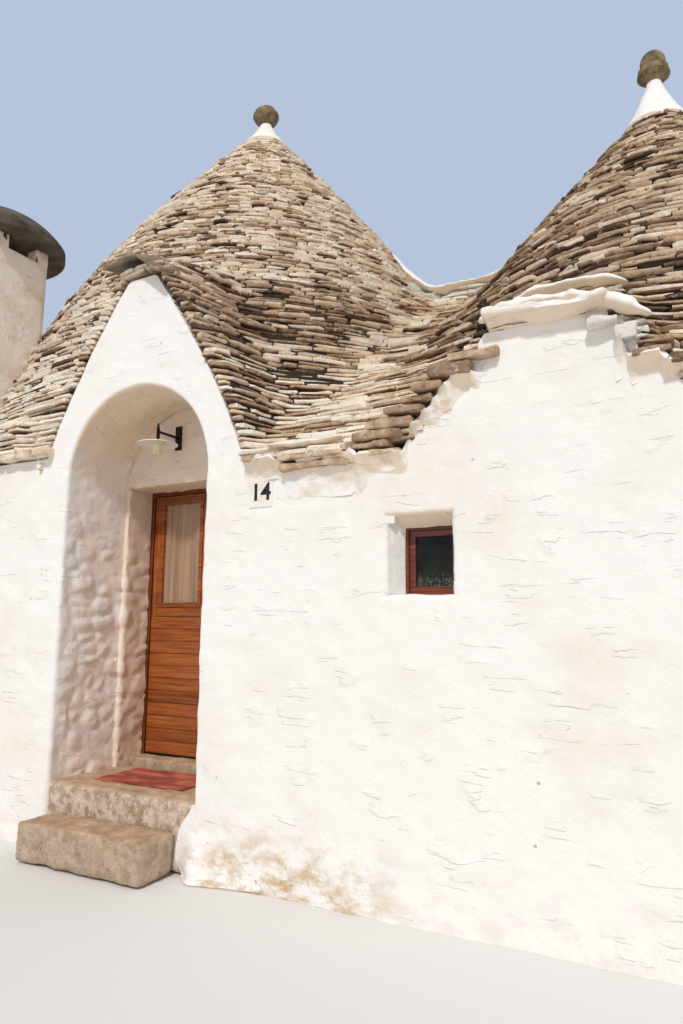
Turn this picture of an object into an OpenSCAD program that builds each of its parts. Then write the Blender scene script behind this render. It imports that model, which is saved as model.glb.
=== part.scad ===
// Trullo house: two dry-stone cones over one whitewashed front, with a gabled porch, a raised
// eyebrow over the right-hand room, a small window and a pair of glazed doors.
// Millimetres. X runs along the front, Y to the back, Z up. The origin is the middle of the
// house's plan, on the ground.

/* [House] */
// Length of the house along its front
house_l = 9300; // [9000:100:10400]
// Depth of the house from front face to back face
house_d = 5240; // [5100:20:5800]
// Height of the wall tops under the eaves
wall_h = 2420; // [2300:10:2500]
// Height of the front wall's top to the left of the gable
left_wall_h = 2740; // [2600:10:2800]
// Thickness of the front wall
front_t = 1150; // [1050:10:1250]
// Thickness of the back wall
back_t = 1150; // [700:10:1250]
// Thickness of each party wall
party_t = 1000; // [700:10:1100]
// Thickness of the wall that the two rooms share
shared_t = 900; // [700:10:1000]
// Height of the room floors over the ground
floor_h = 500; // [460:5:560]

/* [Rooms] */
// Height of the level where the domes spring
spring_h = 2660; // [2640:10:2760]
// Radius of both domes where they spring
dome_r = 1400; // [1200:10:1420]
// Height of the left dome's crown
left_crown_h = 5750; // [5000:50:5900]
// Height of the right dome's crown
right_crown_h = 4750; // [4200:50:4850]
// Width of the arch between the rooms
arch_w = 1700; // [1200:20:1900]
// Height over the ground where that arch springs
arch_spring_h = 1550; // [1300:10:1560]

/* [Cones] */
// Distance between the axes of the two cones
cone_apart = 4100; // [4000:10:4200]
// Height of the left cone's tip
left_tip_h = 7220; // [6800:20:7600]
// Height of the right cone's tip
right_tip_h = 6050; // [5800:20:6400]
// Radius of the left cone at wall-top level
left_foot_r = 2900; // [2800:10:3000]
// Radius of the right cone at wall-top level
right_foot_r = 2640; // [2600:10:2800]
// Slope of the left cone near its tip, in degrees
left_slope_deg = 50.6; // [48:0.2:52]
// Slope of the right cone near its tip, in degrees
right_slope_deg = 49.4; // [47:0.2:51]
// Radius up to which the cones are straight; below it they bulge
straight_r = 1100; // [900:50:1300]
// Thickness of the stone-slab covering
cover_t = 150; // [100:10:200]
// Projection of the slabs past the front and back walls at the eaves
eave_out = 120; // [80:10:180]
// Height of the slab edge at the eaves
eave_t = 80; // [60:5:110]
// Bearing of the eave slabs on the walls
eave_bed = 200; // [150:10:300]
// Height of the saddle between the cones
saddle_h = 4680; // [4400:20:4800]

/* [Porch and gable] */
// Distance of the porch's middle from the middle of the house, to the left
porch_x = 1250; // [1200:10:1300]
// Width of the porch
porch_w = 1310; // [1290:10:1350]
// Depth of the porch's vault
porch_d = 600; // [500:10:700]
// Height of the porch floor over the ground
porch_floor_h = 440; // [400:5:450]
// Height where the porch's arch springs
porch_spring_h = 2530; // [2500:10:2600]
// Height of the gable's peak
gable_h = 3990; // [3900:10:4100]
// Half width of the gable at wall-top level
gable_foot = 990; // [940:10:1030]
// Half width of the gable at its peak
gable_top = 130; // [100:5:160]
// Rise of the gable's ridge towards the back, in degrees
gable_rise = 19; // [10:1:22]
// Thickness of the slabs along the gable
rake_t = 110; // [80:5:130]
// Projection of those slabs in front of the gable
rake_out = 60; // [40:5:100]
// Width of the cap slab on the gable's peak
cap_w = 620; // [500:10:700]
// Thickness of that cap slab
cap_t = 70; // [50:5:90]
// Depth of that cap slab
cap_d = 520; // [400:10:600]
// Projection of that cap slab in front of the gable
cap_out = 120; // [80:10:160]

/* [Eyebrow] */
// Distance of the eyebrow's middle from the middle of the house, to the right
brow_x = 1610; // [1550:10:1700]
// Height of the wall under the eyebrow's hood
brow_h = 3080; // [3000:10:3150]
// Half width of the raised wall at wall-top level
brow_foot = 950; // [900:10:1000]
// Half width of the raised wall under the hood
brow_top = 280; // [250:10:330]
// Rise of the eyebrow's roof towards the back, in degrees
brow_rise = 24; // [20:1:26]
// Thickness of the slabs over the eyebrow
brow_t = 110; // [80:5:130]
// Thickness of the hood
hood_t = 130; // [100:5:160]
// Projection of the hood past the front wall
hood_out = 150; // [120:5:180]
// Depth of the hood, projection included
hood_d = 420; // [380:10:500]
// Overhang of the hood past the raised wall on each side
hood_side = 40; // [20:5:80]

/* [Steps] */
// Height of the lower step over the ground
step_h = 260; // [220:5:290]
// Projection of the lower step in front of the wall
step_d = 330; // [280:10:400]
// Width of the lower step
step_w = 1080; // [980:10:1180]
// Shift of the lower step to the left of the porch's middle
step_shift = 20; // [0:5:60]

/* [Doors] */
// Width of the doorway
doorway_w = 1240; // [1200:10:1260]
// Height of the lintel's underside over the ground
lintel_h = 2600; // [2560:10:2610]
// Thickness of the lintel
lintel_t = 180; // [140:10:220]
// Bearing of the lintel on the wall at each side
lintel_bear = 150; // [100:10:200]
// Distance from the front wall's face to the sill's face
sill_set = 730; // [700:10:790]
// Distance from the front wall's face to the door's face
door_set = 870; // [840:5:900]
// Width of the door frame's posts
post_w = 35; // [30:1:45]
// Thickness of the door leaves
leaf_t = 45; // [40:1:50]
// Gap between each leaf and the frame
leaf_gap = 6; // [5:0.5:8]
// Gap between the two leaves
meet_gap = 10; // [9:0.5:12]
// Gap under the leaves
foot_gap = 14; // [8:1:20]
// Width of the stiles beside each leaf's glass
stile_w = 70; // [60:1:80]
// Height of the glass's lower edge over the leaf's foot
pane_low = 1140; // [1100:10:1200]
// Height of the rail under the glass
mid_rail_h = 80; // [60:5:100]
// Height of the rail over the glass
top_rail_h = 40; // [30:5:70]
// Projection of the bead that frames the glass
bead_out = 8; // [5:1:12]
// Width of that bead
bead_w = 32; // [25:1:38]
// Thickness of the panes
pane_t = 6; // [5:1:8]
// Width of each board's groove
groove_w = 6; // [4:1:8]
// Depth of each board's groove
groove_d = 4; // [3:1:6]
// Number of boards on the lower part of each leaf
board_count = 11; // [9:1:13]
// Radius of the hinge knuckles
knuckle_r = 7; // [6:0.5:8]
// Height of each hinge knuckle
knuckle_h = 90; // [70:5:110]
// Clearance round a hinge knuckle
knuckle_gap = 1; // [0.5:0.5:1.5]
// Radius of the hinge pins
pin_r = 4; // [3:0.5:4.5]
// Number of hinges on each leaf
hinge_count = 3; // [2:1:4]
// Reach of the hinge plates
flap_w = 26; // [22:1:30]
// Thickness of the hinge plates
flap_t = 3; // [2.5:0.5:4]

/* [Window] */
// Distance of the window's middle from the middle of the house, to the right
window_x = 910; // [880:5:940]
// Width of the window opening
window_w = 350; // [320:10:400]
// Height of the opening's lower edge over the ground
window_low = 1665; // [1600:5:1700]
// Height of the window opening
window_h = 410; // [380:10:460]
// Distance from the wall's face to the window frame
window_set = 130; // [100:5:160]
// Splay of the opening's left side and head, from the frame out to the wall's face
window_splay = 50; // [20:5:80]
// Depth of the window frame
window_d = 70; // [60:5:90]
// Width of the window frame's sides
window_bar = 28; // [24:1:34]
// Width of the sash's sides
sash_bar = 36; // [30:1:44]
// Distance of the sash's face behind the frame's face
sash_set = 18; // [12:1:20]
// Thickness of the sash
sash_t = 40; // [34:1:46]

/* [Finials] */
// Radius of the plaster tips at their foot
tip_r = 270; // [220:10:300]
// Radius of the neck that carries each ball
neck_r = 60; // [50:5:70]
// Height of the left neck over the cone's tip
left_neck_h = 10; // [5:5:60]
// Height of the right neck over the cone's tip
right_neck_h = 150; // [120:5:180]
// Radius of the left ball
left_ball_r = 150; // [130:5:170]
// Radius of the right ball
right_ball_r = 105; // [95:5:120]
// Radius of the collar under the right ball
collar_r = 135; // [125:5:150]
// Height of that collar
collar_h = 130; // [110:5:150]
// Height over the collar's foot of its widest line
collar_belly_h = 70; // [55:5:85]
// Radius of the collar's rim
collar_rim_r = 125; // [115:5:135]
// Radius of the flat on which the right ball sits
right_seat_r = 80; // [60:5:90]

/* [Chimney] */
// Distance of the chimney's right side from the middle of the house, to the left
chimney_side = 3050; // [3000:10:3150]
// Width of the chimney along the front
chimney_w = 720; // [600:10:760]
// Depth of the chimney
chimney_d = 530; // [460:10:560]
// Distance of the chimney from the front wall's face
chimney_set = 60; // [40:10:120]
// Distance of the shaft's top below the left cone's tip
shaft_drop = 2440; // [2300:20:2600]
// Side of the flue
flue_w = 260; // [220:10:300]
// Depth of the open flue
flue_depth = 1200; // [800:50:1400]
// Height of the posts under the cap
stub_h = 120; // [90:5:150]
// Side of those posts
stub_w = 120; // [100:5:125]
// Overhang of the cap past the shaft
cap_over = 280; // [240:5:300]
// Thickness of the cap at its edge
cap_edge = 60; // [50:5:80]
// Rise of the cap's dome
cap_rise = 300; // [260:5:320]

/* [Lamp and fittings] */
// Distance of the lamp from the porch's middle, to the left
lamp_x = 125; // [100:5:150]
// Height of the lamp's back plate, middle
lamp_h = 2950; // [2920:5:2960]
// Reach of the lamp's arm
lamp_reach = 240; // [200:5:280]
// Radius of the enamel shade
shade_r = 150; // [130:5:165]
// Height of the enamel shade
shade_h = 32; // [26:1:40]
// Wall of the enamel shade
shade_t = 6; // [5:1:7]
// Radius of the lamp's glass
bulb_r = 36; // [30:1:42]
// Height of the lamp's glass
bulb_h = 105; // [90:5:120]
// Half side of the lamp arm's square bar
arm_r = 8; // [7:1:10]
// Radius of the lamp's socket under the arm
socket_r = 13; // [11:1:18]
// Radius of the spike's foot on the arm
spike_r = 14; // [10:1:16]
// Width of the number plate
plate_w = 170; // [150:5:190]
// Height of the number plate
plate_h = 180; // [160:5:200]
// Thickness of the number plate
plate_t = 10; // [8:1:12]
// Distance of the plate's middle from the middle of the house, to the left
plate_x = 165; // [150:5:180]
// Height of the plate's lower edge over the ground
plate_low = 2230; // [2180:5:2235]
// Width of the door mat
mat_w = 770; // [700:10:800]
// Depth of the door mat
mat_d = 460; // [360:10:480]
// Thickness of the door mat
mat_t = 8; // [6:1:12]
// Turn of the mat on the porch floor, in degrees
mat_turn = 2; // [0:1:5]
// Distance of the mat's middle from the porch's middle, to the left
mat_shift = 20; // [0:5:60]
// Distance between the mat and the sill
mat_gap = 85; // [60:5:120]

/* [Hidden] */
$fn = 360;
// Reach of a cutting block, larger than the whole house
far = 12000;
// Fullness of the gable's and the eyebrow's outlines: over 1 bulges, under 1 hollows
gable_fullness = 1.4;
brow_fullness = 0.75;
// Plane between the two cones, where their surfaces meet
split_x = 330;
// Small overshoot of a cut past the face that it opens
over = 5;
// Steps in a curved outline
arc_steps = 12;
// Distance of the frame's outer face in front of the leaves
leaf_set = 10;
// Running clearance of the hinge pins
pin_gap = 0.05;
// Lip of the plaster tips at their foot
tip_lip = 25;
// Depth to which the gable's and the eyebrow's flanks run on below the wall tops
rake_drop = 85;
// Depth to which the hood is bedded in the raised wall
hood_sink = 20;
// Hollowness of the plaster tips' sides: 1 is straight
tip_hollow = 1.25;
// Clearance between the raised front wall and the gable
rise_gap = 0.5;
// Size of the lamp's back plate, drop of its shade and height of its spike
lamp_plate_w = 60;
lamp_plate_h = 190;
lamp_plate_t = 14;
shade_drop = 70;
spike_h = 60;
front_y = -house_d / 2;
back_y = house_d / 2;
half_l = house_l / 2;
cone_x = cone_apart / 2;
room_front = front_y + front_t;
room_back = back_y - back_t;
door_y = front_y + door_set;
vault_y = front_y + porch_d;
sill_y = front_y + sill_set;
eave_y = front_y - eave_out;
shaft_h = left_tip_h - shaft_drop;
window_left = window_x - window_w / 2;
window_right = window_x + window_w / 2;
rise_x = -porch_x - gable_foot - rise_gap;
leaf_w = (doorway_w - 2 * post_w - 2 * leaf_gap - meet_gap) / 2;
leaf_low = floor_h + foot_gap;
leaf_h = lintel_h - post_w - leaf_gap - leaf_low;
pane_w = leaf_w - 2 * stile_w - 2 * bead_w;
bead_h = leaf_h - pane_low - top_rail_h;
pane_h = bead_h - 2 * bead_w;
board_h = (pane_low - mid_rail_h) / board_count;
post_d = leaf_set + leaf_t;
hinge_x = -leaf_gap / 2;
hinge_y = leaf_t + knuckle_r + knuckle_gap;

limewash = "#f3efe6";
shaded_lime = "#e2d8c8";
slab_stone = "#b3a48c";
old_stone = "#8d8674";
varnish = "#9a5222";
mahogany = "#6b2d1b";

// Points of a bulging profile, straight to `straight_r` and then an arc to the foot
function cone_curve(tip_h, slope, foot_r, foot_h) =
    let (
        knee_h = tip_h - straight_r * tan(slope),
        span = foot_r - straight_r,
        drop = knee_h - foot_h,
        turn = atan(drop / span) - slope,
        radius = sqrt(span * span + drop * drop) / (2 * sin(turn))
    )
    [for (i = [0 : arc_steps])
        let (a = slope + 2 * turn * i / arc_steps)
        [straight_r + radius * (sin(a) - sin(slope)), knee_h - radius * (cos(slope) - cos(a))]];

// Half width of a gable at share t of its height, for a given fullness
function rake(foot, top, fullness, t) = foot - (foot - top) * pow(t, fullness);

// Solid of a cone down to the wall tops, grown or shrunk by `shift`
module cone_mass(side, tip_h, slope, foot_r, shift = 0)
    translate([side * cone_x, 0, 0])
        rotate_extrude()
            translate([0, shift / cos(slope), 0])
                polygon(concat(
                    [[0, tip_h]],
                    cone_curve(tip_h, slope, foot_r, wall_h),
                    [[0, wall_h]]
                ));

module left_mass(shift = 0) cone_mass(-1, left_tip_h, left_slope_deg, left_foot_r, shift);
module right_mass(shift = 0) cone_mass(1, right_tip_h, right_slope_deg, right_foot_r, shift);

// Block with its low corner and high corner given
module block(low, high) translate(low) cube(high - low);

// Pointed dome over a room, from the springing to its crown
module dome_space(side, crown_h)
    let (
        rise = crown_h - spring_h,
        radius = (dome_r * dome_r + rise * rise) / (2 * dome_r)
    )
    translate([side * cone_x, 0, spring_h])
        rotate_extrude()
            intersection() {
                translate([dome_r - radius, 0]) circle(r = radius);
                square([dome_r, rise]);
            }

module room_space(side)
    block(
        [side < 0 ? party_t - half_l : shared_t / 2, room_front, floor_h],
        [side < 0 ? -shared_t / 2 : half_l - party_t, room_back, spring_h]
    );

module inside_space() {
    room_space(-1);
    room_space(1);
    dome_space(-1, left_crown_h);
    dome_space(1, right_crown_h);
}

// Outline of an arched opening, from a sill height
module arch_shape(width, low, spring) {
    translate([-width / 2, low]) square([width, spring - low]);
    translate([0, spring]) circle(d = width);
}

// Stands an outline drawn in X and Z at a given Y, and gives it depth to the back
module upright(y, depth)
    translate([0, y + depth, 0]) rotate([90, 0, 0]) linear_extrude(depth) children();

module porch_space() {
    translate([-porch_x, 0, 0])
        upright(front_y - over, porch_d + over)
            arch_shape(porch_w, porch_floor_h, porch_spring_h);
}

module doorway_space()
    block(
        [-porch_x - doorway_w / 2, vault_y - over, porch_floor_h],
        [-porch_x + doorway_w / 2, room_front + over, lintel_h]
    );

// Outline of a gable or eyebrow, grown by `grow`. It is foreshortened by the ridge's rise, so that
// the front shows the true outline, and its sides run on down below the wall tops.
module rake_shape(foot, top, fullness, height, rise, grow = 0)
    let (
        span = (height - wall_h + rake_drop) * cos(rise),
        right = [for (i = [0 : arc_steps])
            let (t = i / arc_steps)
            [rake(foot, top, fullness, t) + grow, height - span * (1 - t) + (t == 1 ? grow : 0)]]
    )
    polygon(concat(
        [[foot + grow, 0]],
        right,
        [for (i = [arc_steps : -1 : 0]) [-right[i][0], right[i][1]]],
        [[-foot - grow, 0]]
    ));

// Prism on an outline, that rises to the back. It runs past the front wall at both ends.
module ridge_mass(rise, height)
    translate([0, front_y, height]) rotate([rise, 0, 0]) translate([0, 0, -height])
        upright(-front_t, house_d) children();

module gable_mass(grow = 0)
    translate([-porch_x, 0, 0])
        ridge_mass(gable_rise, gable_h)
            rake_shape(gable_foot, gable_top, gable_fullness, gable_h, gable_rise, grow);

module brow_mass(grow = 0)
    translate([brow_x, 0, 0])
        ridge_mass(brow_rise, brow_h)
            rake_shape(brow_foot, brow_top, brow_fullness, brow_h, brow_rise, grow);

// Block from the wall tops up, between two Y planes
module raised(low_y, high_y) block([-half_l, low_y, wall_h], [half_l, high_y, far]);

// Hipped fill between and beside the cones, sloping up from the eaves. The front eaves lie at
// front_h; the ends slope up from the party walls.
module hip_mass(front_h)
    intersection() {
        rotate([90, 0, 90]) translate([0, 0, -half_l]) linear_extrude(house_l)
            polygon([
                [eave_y, front_h], [eave_y, front_h + eave_t], [0, saddle_h],
                [-eave_y, wall_h + eave_t], [-eave_y, wall_h], [front_y, wall_h], [front_y, front_h]
            ]);
        upright(eave_y, -2 * eave_y)
            polygon([
                [-half_l, wall_h], [-half_l, wall_h + eave_t],
                [-half_l - eave_y, saddle_h], [half_l + eave_y, saddle_h],
                [half_l, wall_h + eave_t], [half_l, wall_h]
            ]);
    }

module half(side, x = split_x)
    block([side < 0 ? -far : x, -far, 0], [side < 0 ? x : far, far, far]);

// The two cones, met at the plane between them
module left_body(shift = 0) intersection() { left_mass(shift); half(-1); }
module right_body(shift = 0) intersection() { right_mass(shift); half(1); }

// Masonry under the slabs of a cone, between the outer faces of the walls
module left_core() intersection() { left_body(-cover_t); raised(front_y, back_y); }
module right_core() intersection() { right_body(-cover_t); raised(front_y, back_y); }

// Air under the left front eaves, in front of the raised wall
module under_eaves() block([-half_l, eave_y - over, wall_h], [rise_x, front_y, left_wall_h]);

// Wall from corner to corner, clear of the porch and the doorway
module wall(low, high)
    difference() {
        block(low, high);
        block(
            [-porch_x - porch_w / 2, front_y - over, -over],
            [-porch_x + porch_w / 2, vault_y, wall_h + over]
        );
        block(
            [-porch_x - doorway_w / 2, vault_y - over, -over],
            [-porch_x + doorway_w / 2, room_front + over, wall_h + over]
        );
    }

// Raised top of the front wall, to the left of the gable
module left_rise() block([-half_l, front_y, wall_h], [rise_x, room_front, left_wall_h]);

module front_wall_left() color(limewash) {
    wall([-half_l, front_y, 0], [-porch_x, room_front, wall_h]);
    left_rise();
}

// Splays of the window's left side and head, from the frame out to the wall's face
module left_splay()
    translate([window_left, front_y, window_low])
        linear_extrude(window_h)
            polygon([[-window_splay, 0], [0, window_set], [over, -over], [-window_splay, -over]]);

module head_splay()
    translate([window_left, front_y, window_low + window_h])
        rotate([90, 0, 90])
            linear_extrude(window_w)
                polygon([[0, window_splay], [window_set, 0], [-over, -over], [-over, window_splay]]);

module front_wall_middle() color(limewash)
    difference() {
        wall([-porch_x, front_y, 0], [window_left, room_front, wall_h]);
        left_splay();
    }

module front_wall_right() color(limewash)
    block([window_right, front_y, 0], [half_l, room_front, wall_h]);

module wall_under_window() color(limewash)
    block(
        [window_left, front_y, 0],
        [window_right, room_front, window_low]
    );

module wall_over_window() color(limewash)
    difference() {
        block(
            [window_left, front_y, window_low + window_h],
            [window_right, room_front, wall_h]
        );
        head_splay();
    }

module back_wall() color(limewash)
    block([-half_l, room_back, 0], [half_l, back_y, wall_h]);

module party_wall(side)
    translate([side < 0 ? -half_l : half_l - party_t, room_front, 0])
        cube([party_t, room_back - room_front, wall_h]);

module left_party_wall() color(limewash) party_wall(-1);
module right_party_wall() color(limewash) party_wall(1);

module shared_wall() color(limewash)
    difference() {
        block([-shared_t / 2, room_front, 0], [shared_t / 2, room_back, wall_h]);
        rotate([0, 0, 90]) upright(-shared_t, 2 * shared_t)
            arch_shape(arch_w, floor_h, arch_spring_h);
    }

module room_floor(side)
    block(
        [side < 0 ? party_t - half_l : shared_t / 2, room_front, 0],
        [side < 0 ? -shared_t / 2 : half_l - party_t, room_back, floor_h]
    );

module left_floor() color(slab_stone) room_floor(-1);
module right_floor() color(slab_stone) room_floor(1);

// The porch's paving fills the porch, and runs on between the doorway's jambs to the sill
module porch_floor() color(slab_stone) {
    block([-porch_x - porch_w / 2, front_y, 0], [-porch_x + porch_w / 2, vault_y, porch_floor_h]);
    block([-porch_x - doorway_w / 2, front_y, 0], [-porch_x + doorway_w / 2, sill_y, porch_floor_h]);
}

module door_sill() color(slab_stone)
    block(
        [-porch_x - doorway_w / 2, sill_y, 0],
        [-porch_x + doorway_w / 2, room_front, floor_h]
    );

module lower_step() color(slab_stone)
    translate([-porch_x - step_shift - step_w / 2, front_y - step_d, 0])
        cube([step_w, step_d, step_h]);

module lintel_space()
    block(
        [-porch_x - doorway_w / 2 - lintel_bear, vault_y, lintel_h],
        [-porch_x + doorway_w / 2 + lintel_bear, room_front, lintel_h + lintel_t]
    );

module door_lintel() color(limewash) lintel_space();

module porch_gable() color(limewash)
    difference() {
        intersection() {
            gable_mass();
            raised(front_y, room_front);
        }
        porch_space();
        doorway_space();
        lintel_space();
        cap_space();
    }

// Cap slab on the gable's peak, tilted like the ridge
module cap_space()
    translate([-porch_x, front_y, gable_h])
        rotate([gable_rise, 0, 0])
            translate([-cap_w / 2, -cap_out, rake_t])
                cube([cap_w, cap_d, cap_t]);

module gable_cap() color(old_stone) cap_space();

// What the gable cuts out of the roofs behind it
module gable_cut() intersection() {
    union() {
        gable_mass(rake_t);
        cap_space();
    }
    raised(eave_y, room_front);
}

module brow_cut() intersection() {
    brow_mass(brow_t);
    raised(eave_y, room_front);
}

module gable_roof() color(slab_stone)
    difference() {
        intersection() {
            gable_mass(rake_t);
            raised(front_y - rake_out, room_front);
        }
        gable_mass();
        left_body();
        right_body();
        chimney_space();
        left_rise();
        under_eaves();
        eave_courses();
    }

module left_dome() color(limewash)
    difference() {
        left_core();
        inside_space();
        gable_cut();
        chimney_space();
        left_rise();
        eave_courses();
    }

module right_dome() color(limewash)
    difference() {
        right_core();
        inside_space();
        brow_cut();
        eave_courses();
    }

module left_cone() color(slab_stone)
    difference() {
        intersection() {
            left_body();
            raised(eave_y, -eave_y);
        }
        left_core();
        gable_cut();
        chimney_space();
        left_rise();
        under_eaves();
        eave_courses();
    }

module right_cone() color(slab_stone)
    difference() {
        intersection() {
            right_body();
            raised(eave_y, -eave_y);
        }
        right_core();
        brow_cut();
        eave_courses();
    }

// Lowest course of slabs along the front and the back, between two X planes
module eave_course(low_x, high_x, front_h) {
    block([low_x, eave_y, front_h], [high_x, front_y + eave_bed, front_h + eave_t]);
    block([low_x, back_y - eave_bed, wall_h], [high_x, -eave_y, wall_h + eave_t]);
}

module eave_courses() {
    eave_course(-half_l, rise_x, left_wall_h);
    eave_course(rise_x, half_l, wall_h);
}

// Stretch of the hipped fill between two X planes, with its eaves
module hip_part(low_x, high_x, front_h = wall_h)
    difference() {
        union() {
            difference() {
                intersection() {
                    hip_mass(front_h);
                    block([low_x, -far, wall_h], [high_x, far, far]);
                }
                left_body();
                right_body();
            }
            eave_course(low_x, high_x, front_h);
        }
        inside_space();
        gable_cut();
        brow_cut();
        chimney_space();
        left_rise();
    }

module saddle_roof() color(slab_stone) hip_part(rise_x, cone_x);
module left_eaves() color(slab_stone) hip_part(-half_l, rise_x, left_wall_h);
module right_eaves() color(slab_stone) hip_part(cone_x, half_l);

module hood_space()
    translate([brow_x - brow_top - hood_side, front_y - hood_out, brow_h - hood_sink])
        cube([2 * (brow_top + hood_side), hood_d, hood_t]);

module eyebrow_wall() color(limewash)
    difference() {
        intersection() {
            brow_mass();
            raised(front_y, room_front);
        }
        hood_space();
    }

module eyebrow_roof() color(slab_stone)
    difference() {
        intersection() {
            brow_mass(brow_t);
            raised(eave_y, room_front);
        }
        brow_mass();
        hood_space();
        left_body();
        right_body();
    }

module eyebrow_hood() color(limewash) hood_space();

// Plaster tip that carries a ball: a hollow-sided cone over the last slabs
module plaster_tip(side, tip_h, slope, neck_h)
    translate([side * cone_x, 0, 0])
        rotate_extrude()
            polygon(concat(
                [[0, tip_h + neck_h], [0, tip_h]],
                [[tip_r, tip_h - tip_r * tan(slope)]],
                [for (i = [0 : arc_steps])
                    let (t = i / arc_steps)
                    [neck_r + (tip_r - neck_r) * pow(1 - t, tip_hollow),
                     tip_h - tip_r * tan(slope) + tip_lip
                        + (tip_r * tan(slope) - tip_lip + neck_h) * t]]
            ));

module left_finial() color(limewash) plaster_tip(-1, left_tip_h, left_slope_deg, left_neck_h);
module right_finial() color(limewash) plaster_tip(1, right_tip_h, right_slope_deg, right_neck_h);

// Stone ball cut flat where it sits
module ball(r, seat_r) rotate_extrude()
    let (seat = sqrt(r * r - seat_r * seat_r))
    intersection() {
        translate([0, seat]) circle(r = r);
        square([r, seat + r]);
    }

module left_ball() color(old_stone)
    translate([-cone_x, 0, left_tip_h + left_neck_h]) ball(left_ball_r, neck_r);

// Stone bowl with a ball in it
module right_ball() color(old_stone)
    translate([cone_x, 0, right_tip_h + right_neck_h]) {
        rotate_extrude()
            polygon([
                [0, 0], [neck_r, 0], [collar_r, collar_belly_h], [collar_rim_r, collar_h],
                [0, collar_h]
            ]);
        translate([0, 0, collar_h]) ball(right_ball_r, right_seat_r);
    }

// Chimney shaft's outer block, from the front wall's top
module chimney_space()
    translate([-chimney_side - chimney_w, front_y + chimney_set, left_wall_h])
        cube([chimney_w, chimney_d, shaft_h - left_wall_h]);

module chimney_shaft() color(shaded_lime)
    difference() {
        chimney_space();
        translate([-chimney_side - chimney_w / 2, front_y + chimney_set + chimney_d / 2, shaft_h])
            translate([-flue_w / 2, -flue_w / 2, -flue_depth])
                cube([flue_w, flue_w, flue_depth + over]);
    }

// Four short posts and the domed slab that they carry, as one node
module chimney_cap() {
    centre = [-chimney_side - chimney_w / 2, front_y + chimney_set + chimney_d / 2];
    color(shaded_lime)
        for (sx = [-1, 1], sy = [-1, 1])
            translate([
                centre[0] + sx * (chimney_w - stub_w) / 2 - stub_w / 2,
                centre[1] + sy * (chimney_d - stub_w) / 2 - stub_w / 2,
                shaft_h
            ])
                cube([stub_w, stub_w, stub_h]);
    color(old_stone)
        translate([centre[0], centre[1], shaft_h + stub_h]) {
            slab_r = norm([chimney_w, chimney_d]) / 2 + cap_over / 2;
            dome_radius = (slab_r * slab_r + cap_rise * cap_rise) / (2 * cap_rise);
            cylinder(r = slab_r, h = cap_edge);
            translate([0, 0, cap_edge])
                rotate_extrude()
                    intersection() {
                        translate([0, cap_rise - dome_radius]) circle(r = dome_radius);
                        square([slab_r, cap_rise]);
                    }
        }
}

// Height over the leaf's foot of hinge i's lower barrel
function hinge_h(i) = leaf_h * (i + 0.5) / hinge_count - knuckle_h / 2;

// Barrel and plate of half a hinge, its plate to the right
module hinge_half(h) {
    cylinder(r = knuckle_r, h = h);
    translate([0, -knuckle_r - knuckle_gap, 0]) cube([flap_w, flap_t, h]);
}

// Lower half of each hinge, fixed to the frame, with the pin that the leaf turns on
module fixed_hinges()
    for (i = [0 : hinge_count - 1])
        translate([hinge_x, hinge_y, hinge_h(i)]) {
            mirror([1, 0, 0]) hinge_half(knuckle_h / 2 - knuckle_gap);
            cylinder(r = pin_r, h = knuckle_h - knuckle_gap);
        }

// Upper half of each hinge, on the leaf, bored for the pin
module leaf_hinges()
    for (i = [0 : hinge_count - 1])
        translate([hinge_x, hinge_y, hinge_h(i) + knuckle_h / 2])
            difference() {
                hinge_half(knuckle_h / 2);
                translate([0, 0, -over]) cylinder(r = pin_r + pin_gap, h = knuckle_h + over);
            }

// Places what is drawn for a leaf at the left or the right jamb
module at_jamb(side)
    translate([-porch_x, door_y, leaf_low])
        mirror([side < 0 ? 0 : 1, 0, 0])
            translate([post_w + leaf_gap - doorway_w / 2, 0, 0]) children();

// Lining of the doorway: two posts and a head, flush with the leaves inside
module door_frame() color(varnish) {
    translate([-porch_x, door_y - leaf_set, floor_h])
        difference() {
            translate([-doorway_w / 2, 0, 0]) cube([doorway_w, post_d, lintel_h - floor_h]);
            translate([post_w - doorway_w / 2, -over, -over])
                cube([doorway_w - 2 * post_w, post_d + 2 * over, lintel_h - floor_h - post_w + over]);
        }
    at_jamb(-1) fixed_hinges();
    at_jamb(1) fixed_hinges();
}

// One door leaf with its hinge side at X = 0 and its face at Y = 0
module leaf() {
    difference() {
        cube([leaf_w, leaf_t, leaf_h]);
        translate([stile_w + bead_w, -over, pane_low + bead_w])
            cube([pane_w, leaf_t + 2 * over, pane_h]);
        for (i = [1 : board_count])
            translate([-over, -over, i * board_h - groove_w / 2])
                cube([leaf_w + 2 * over, groove_d + over, groove_w]);
    }
    translate([stile_w, -bead_out, pane_low])
        difference() {
            cube([pane_w + 2 * bead_w, bead_out, bead_h]);
            translate([bead_w, -over, bead_w]) cube([pane_w, bead_out + 2 * over, pane_h]);
        }
    leaf_hinges();
}

module leaf_glass()
    translate([stile_w + bead_w, (leaf_t - pane_t) / 2, pane_low + bead_w])
        cube([pane_w, pane_t, pane_h]);

module left_door() color(varnish) at_jamb(-1) leaf();
module right_door() color(varnish) at_jamb(1) leaf();
module left_door_glass() color("#c9bfae") at_jamb(-1) leaf_glass();
module right_door_glass() color("#c9bfae") at_jamb(1) leaf_glass();

module window_place() translate([window_left, front_y + window_set, window_low]) children();

// Rectangular ring standing in X and Z
module ring(width, height, bar, depth)
    difference() {
        cube([width, depth, height]);
        translate([bar, -over, bar])
            cube([width - 2 * bar, depth + 2 * over, height - 2 * bar]);
    }

module window_frame() color(mahogany) window_place() ring(window_w, window_h, window_bar, window_d);

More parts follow.
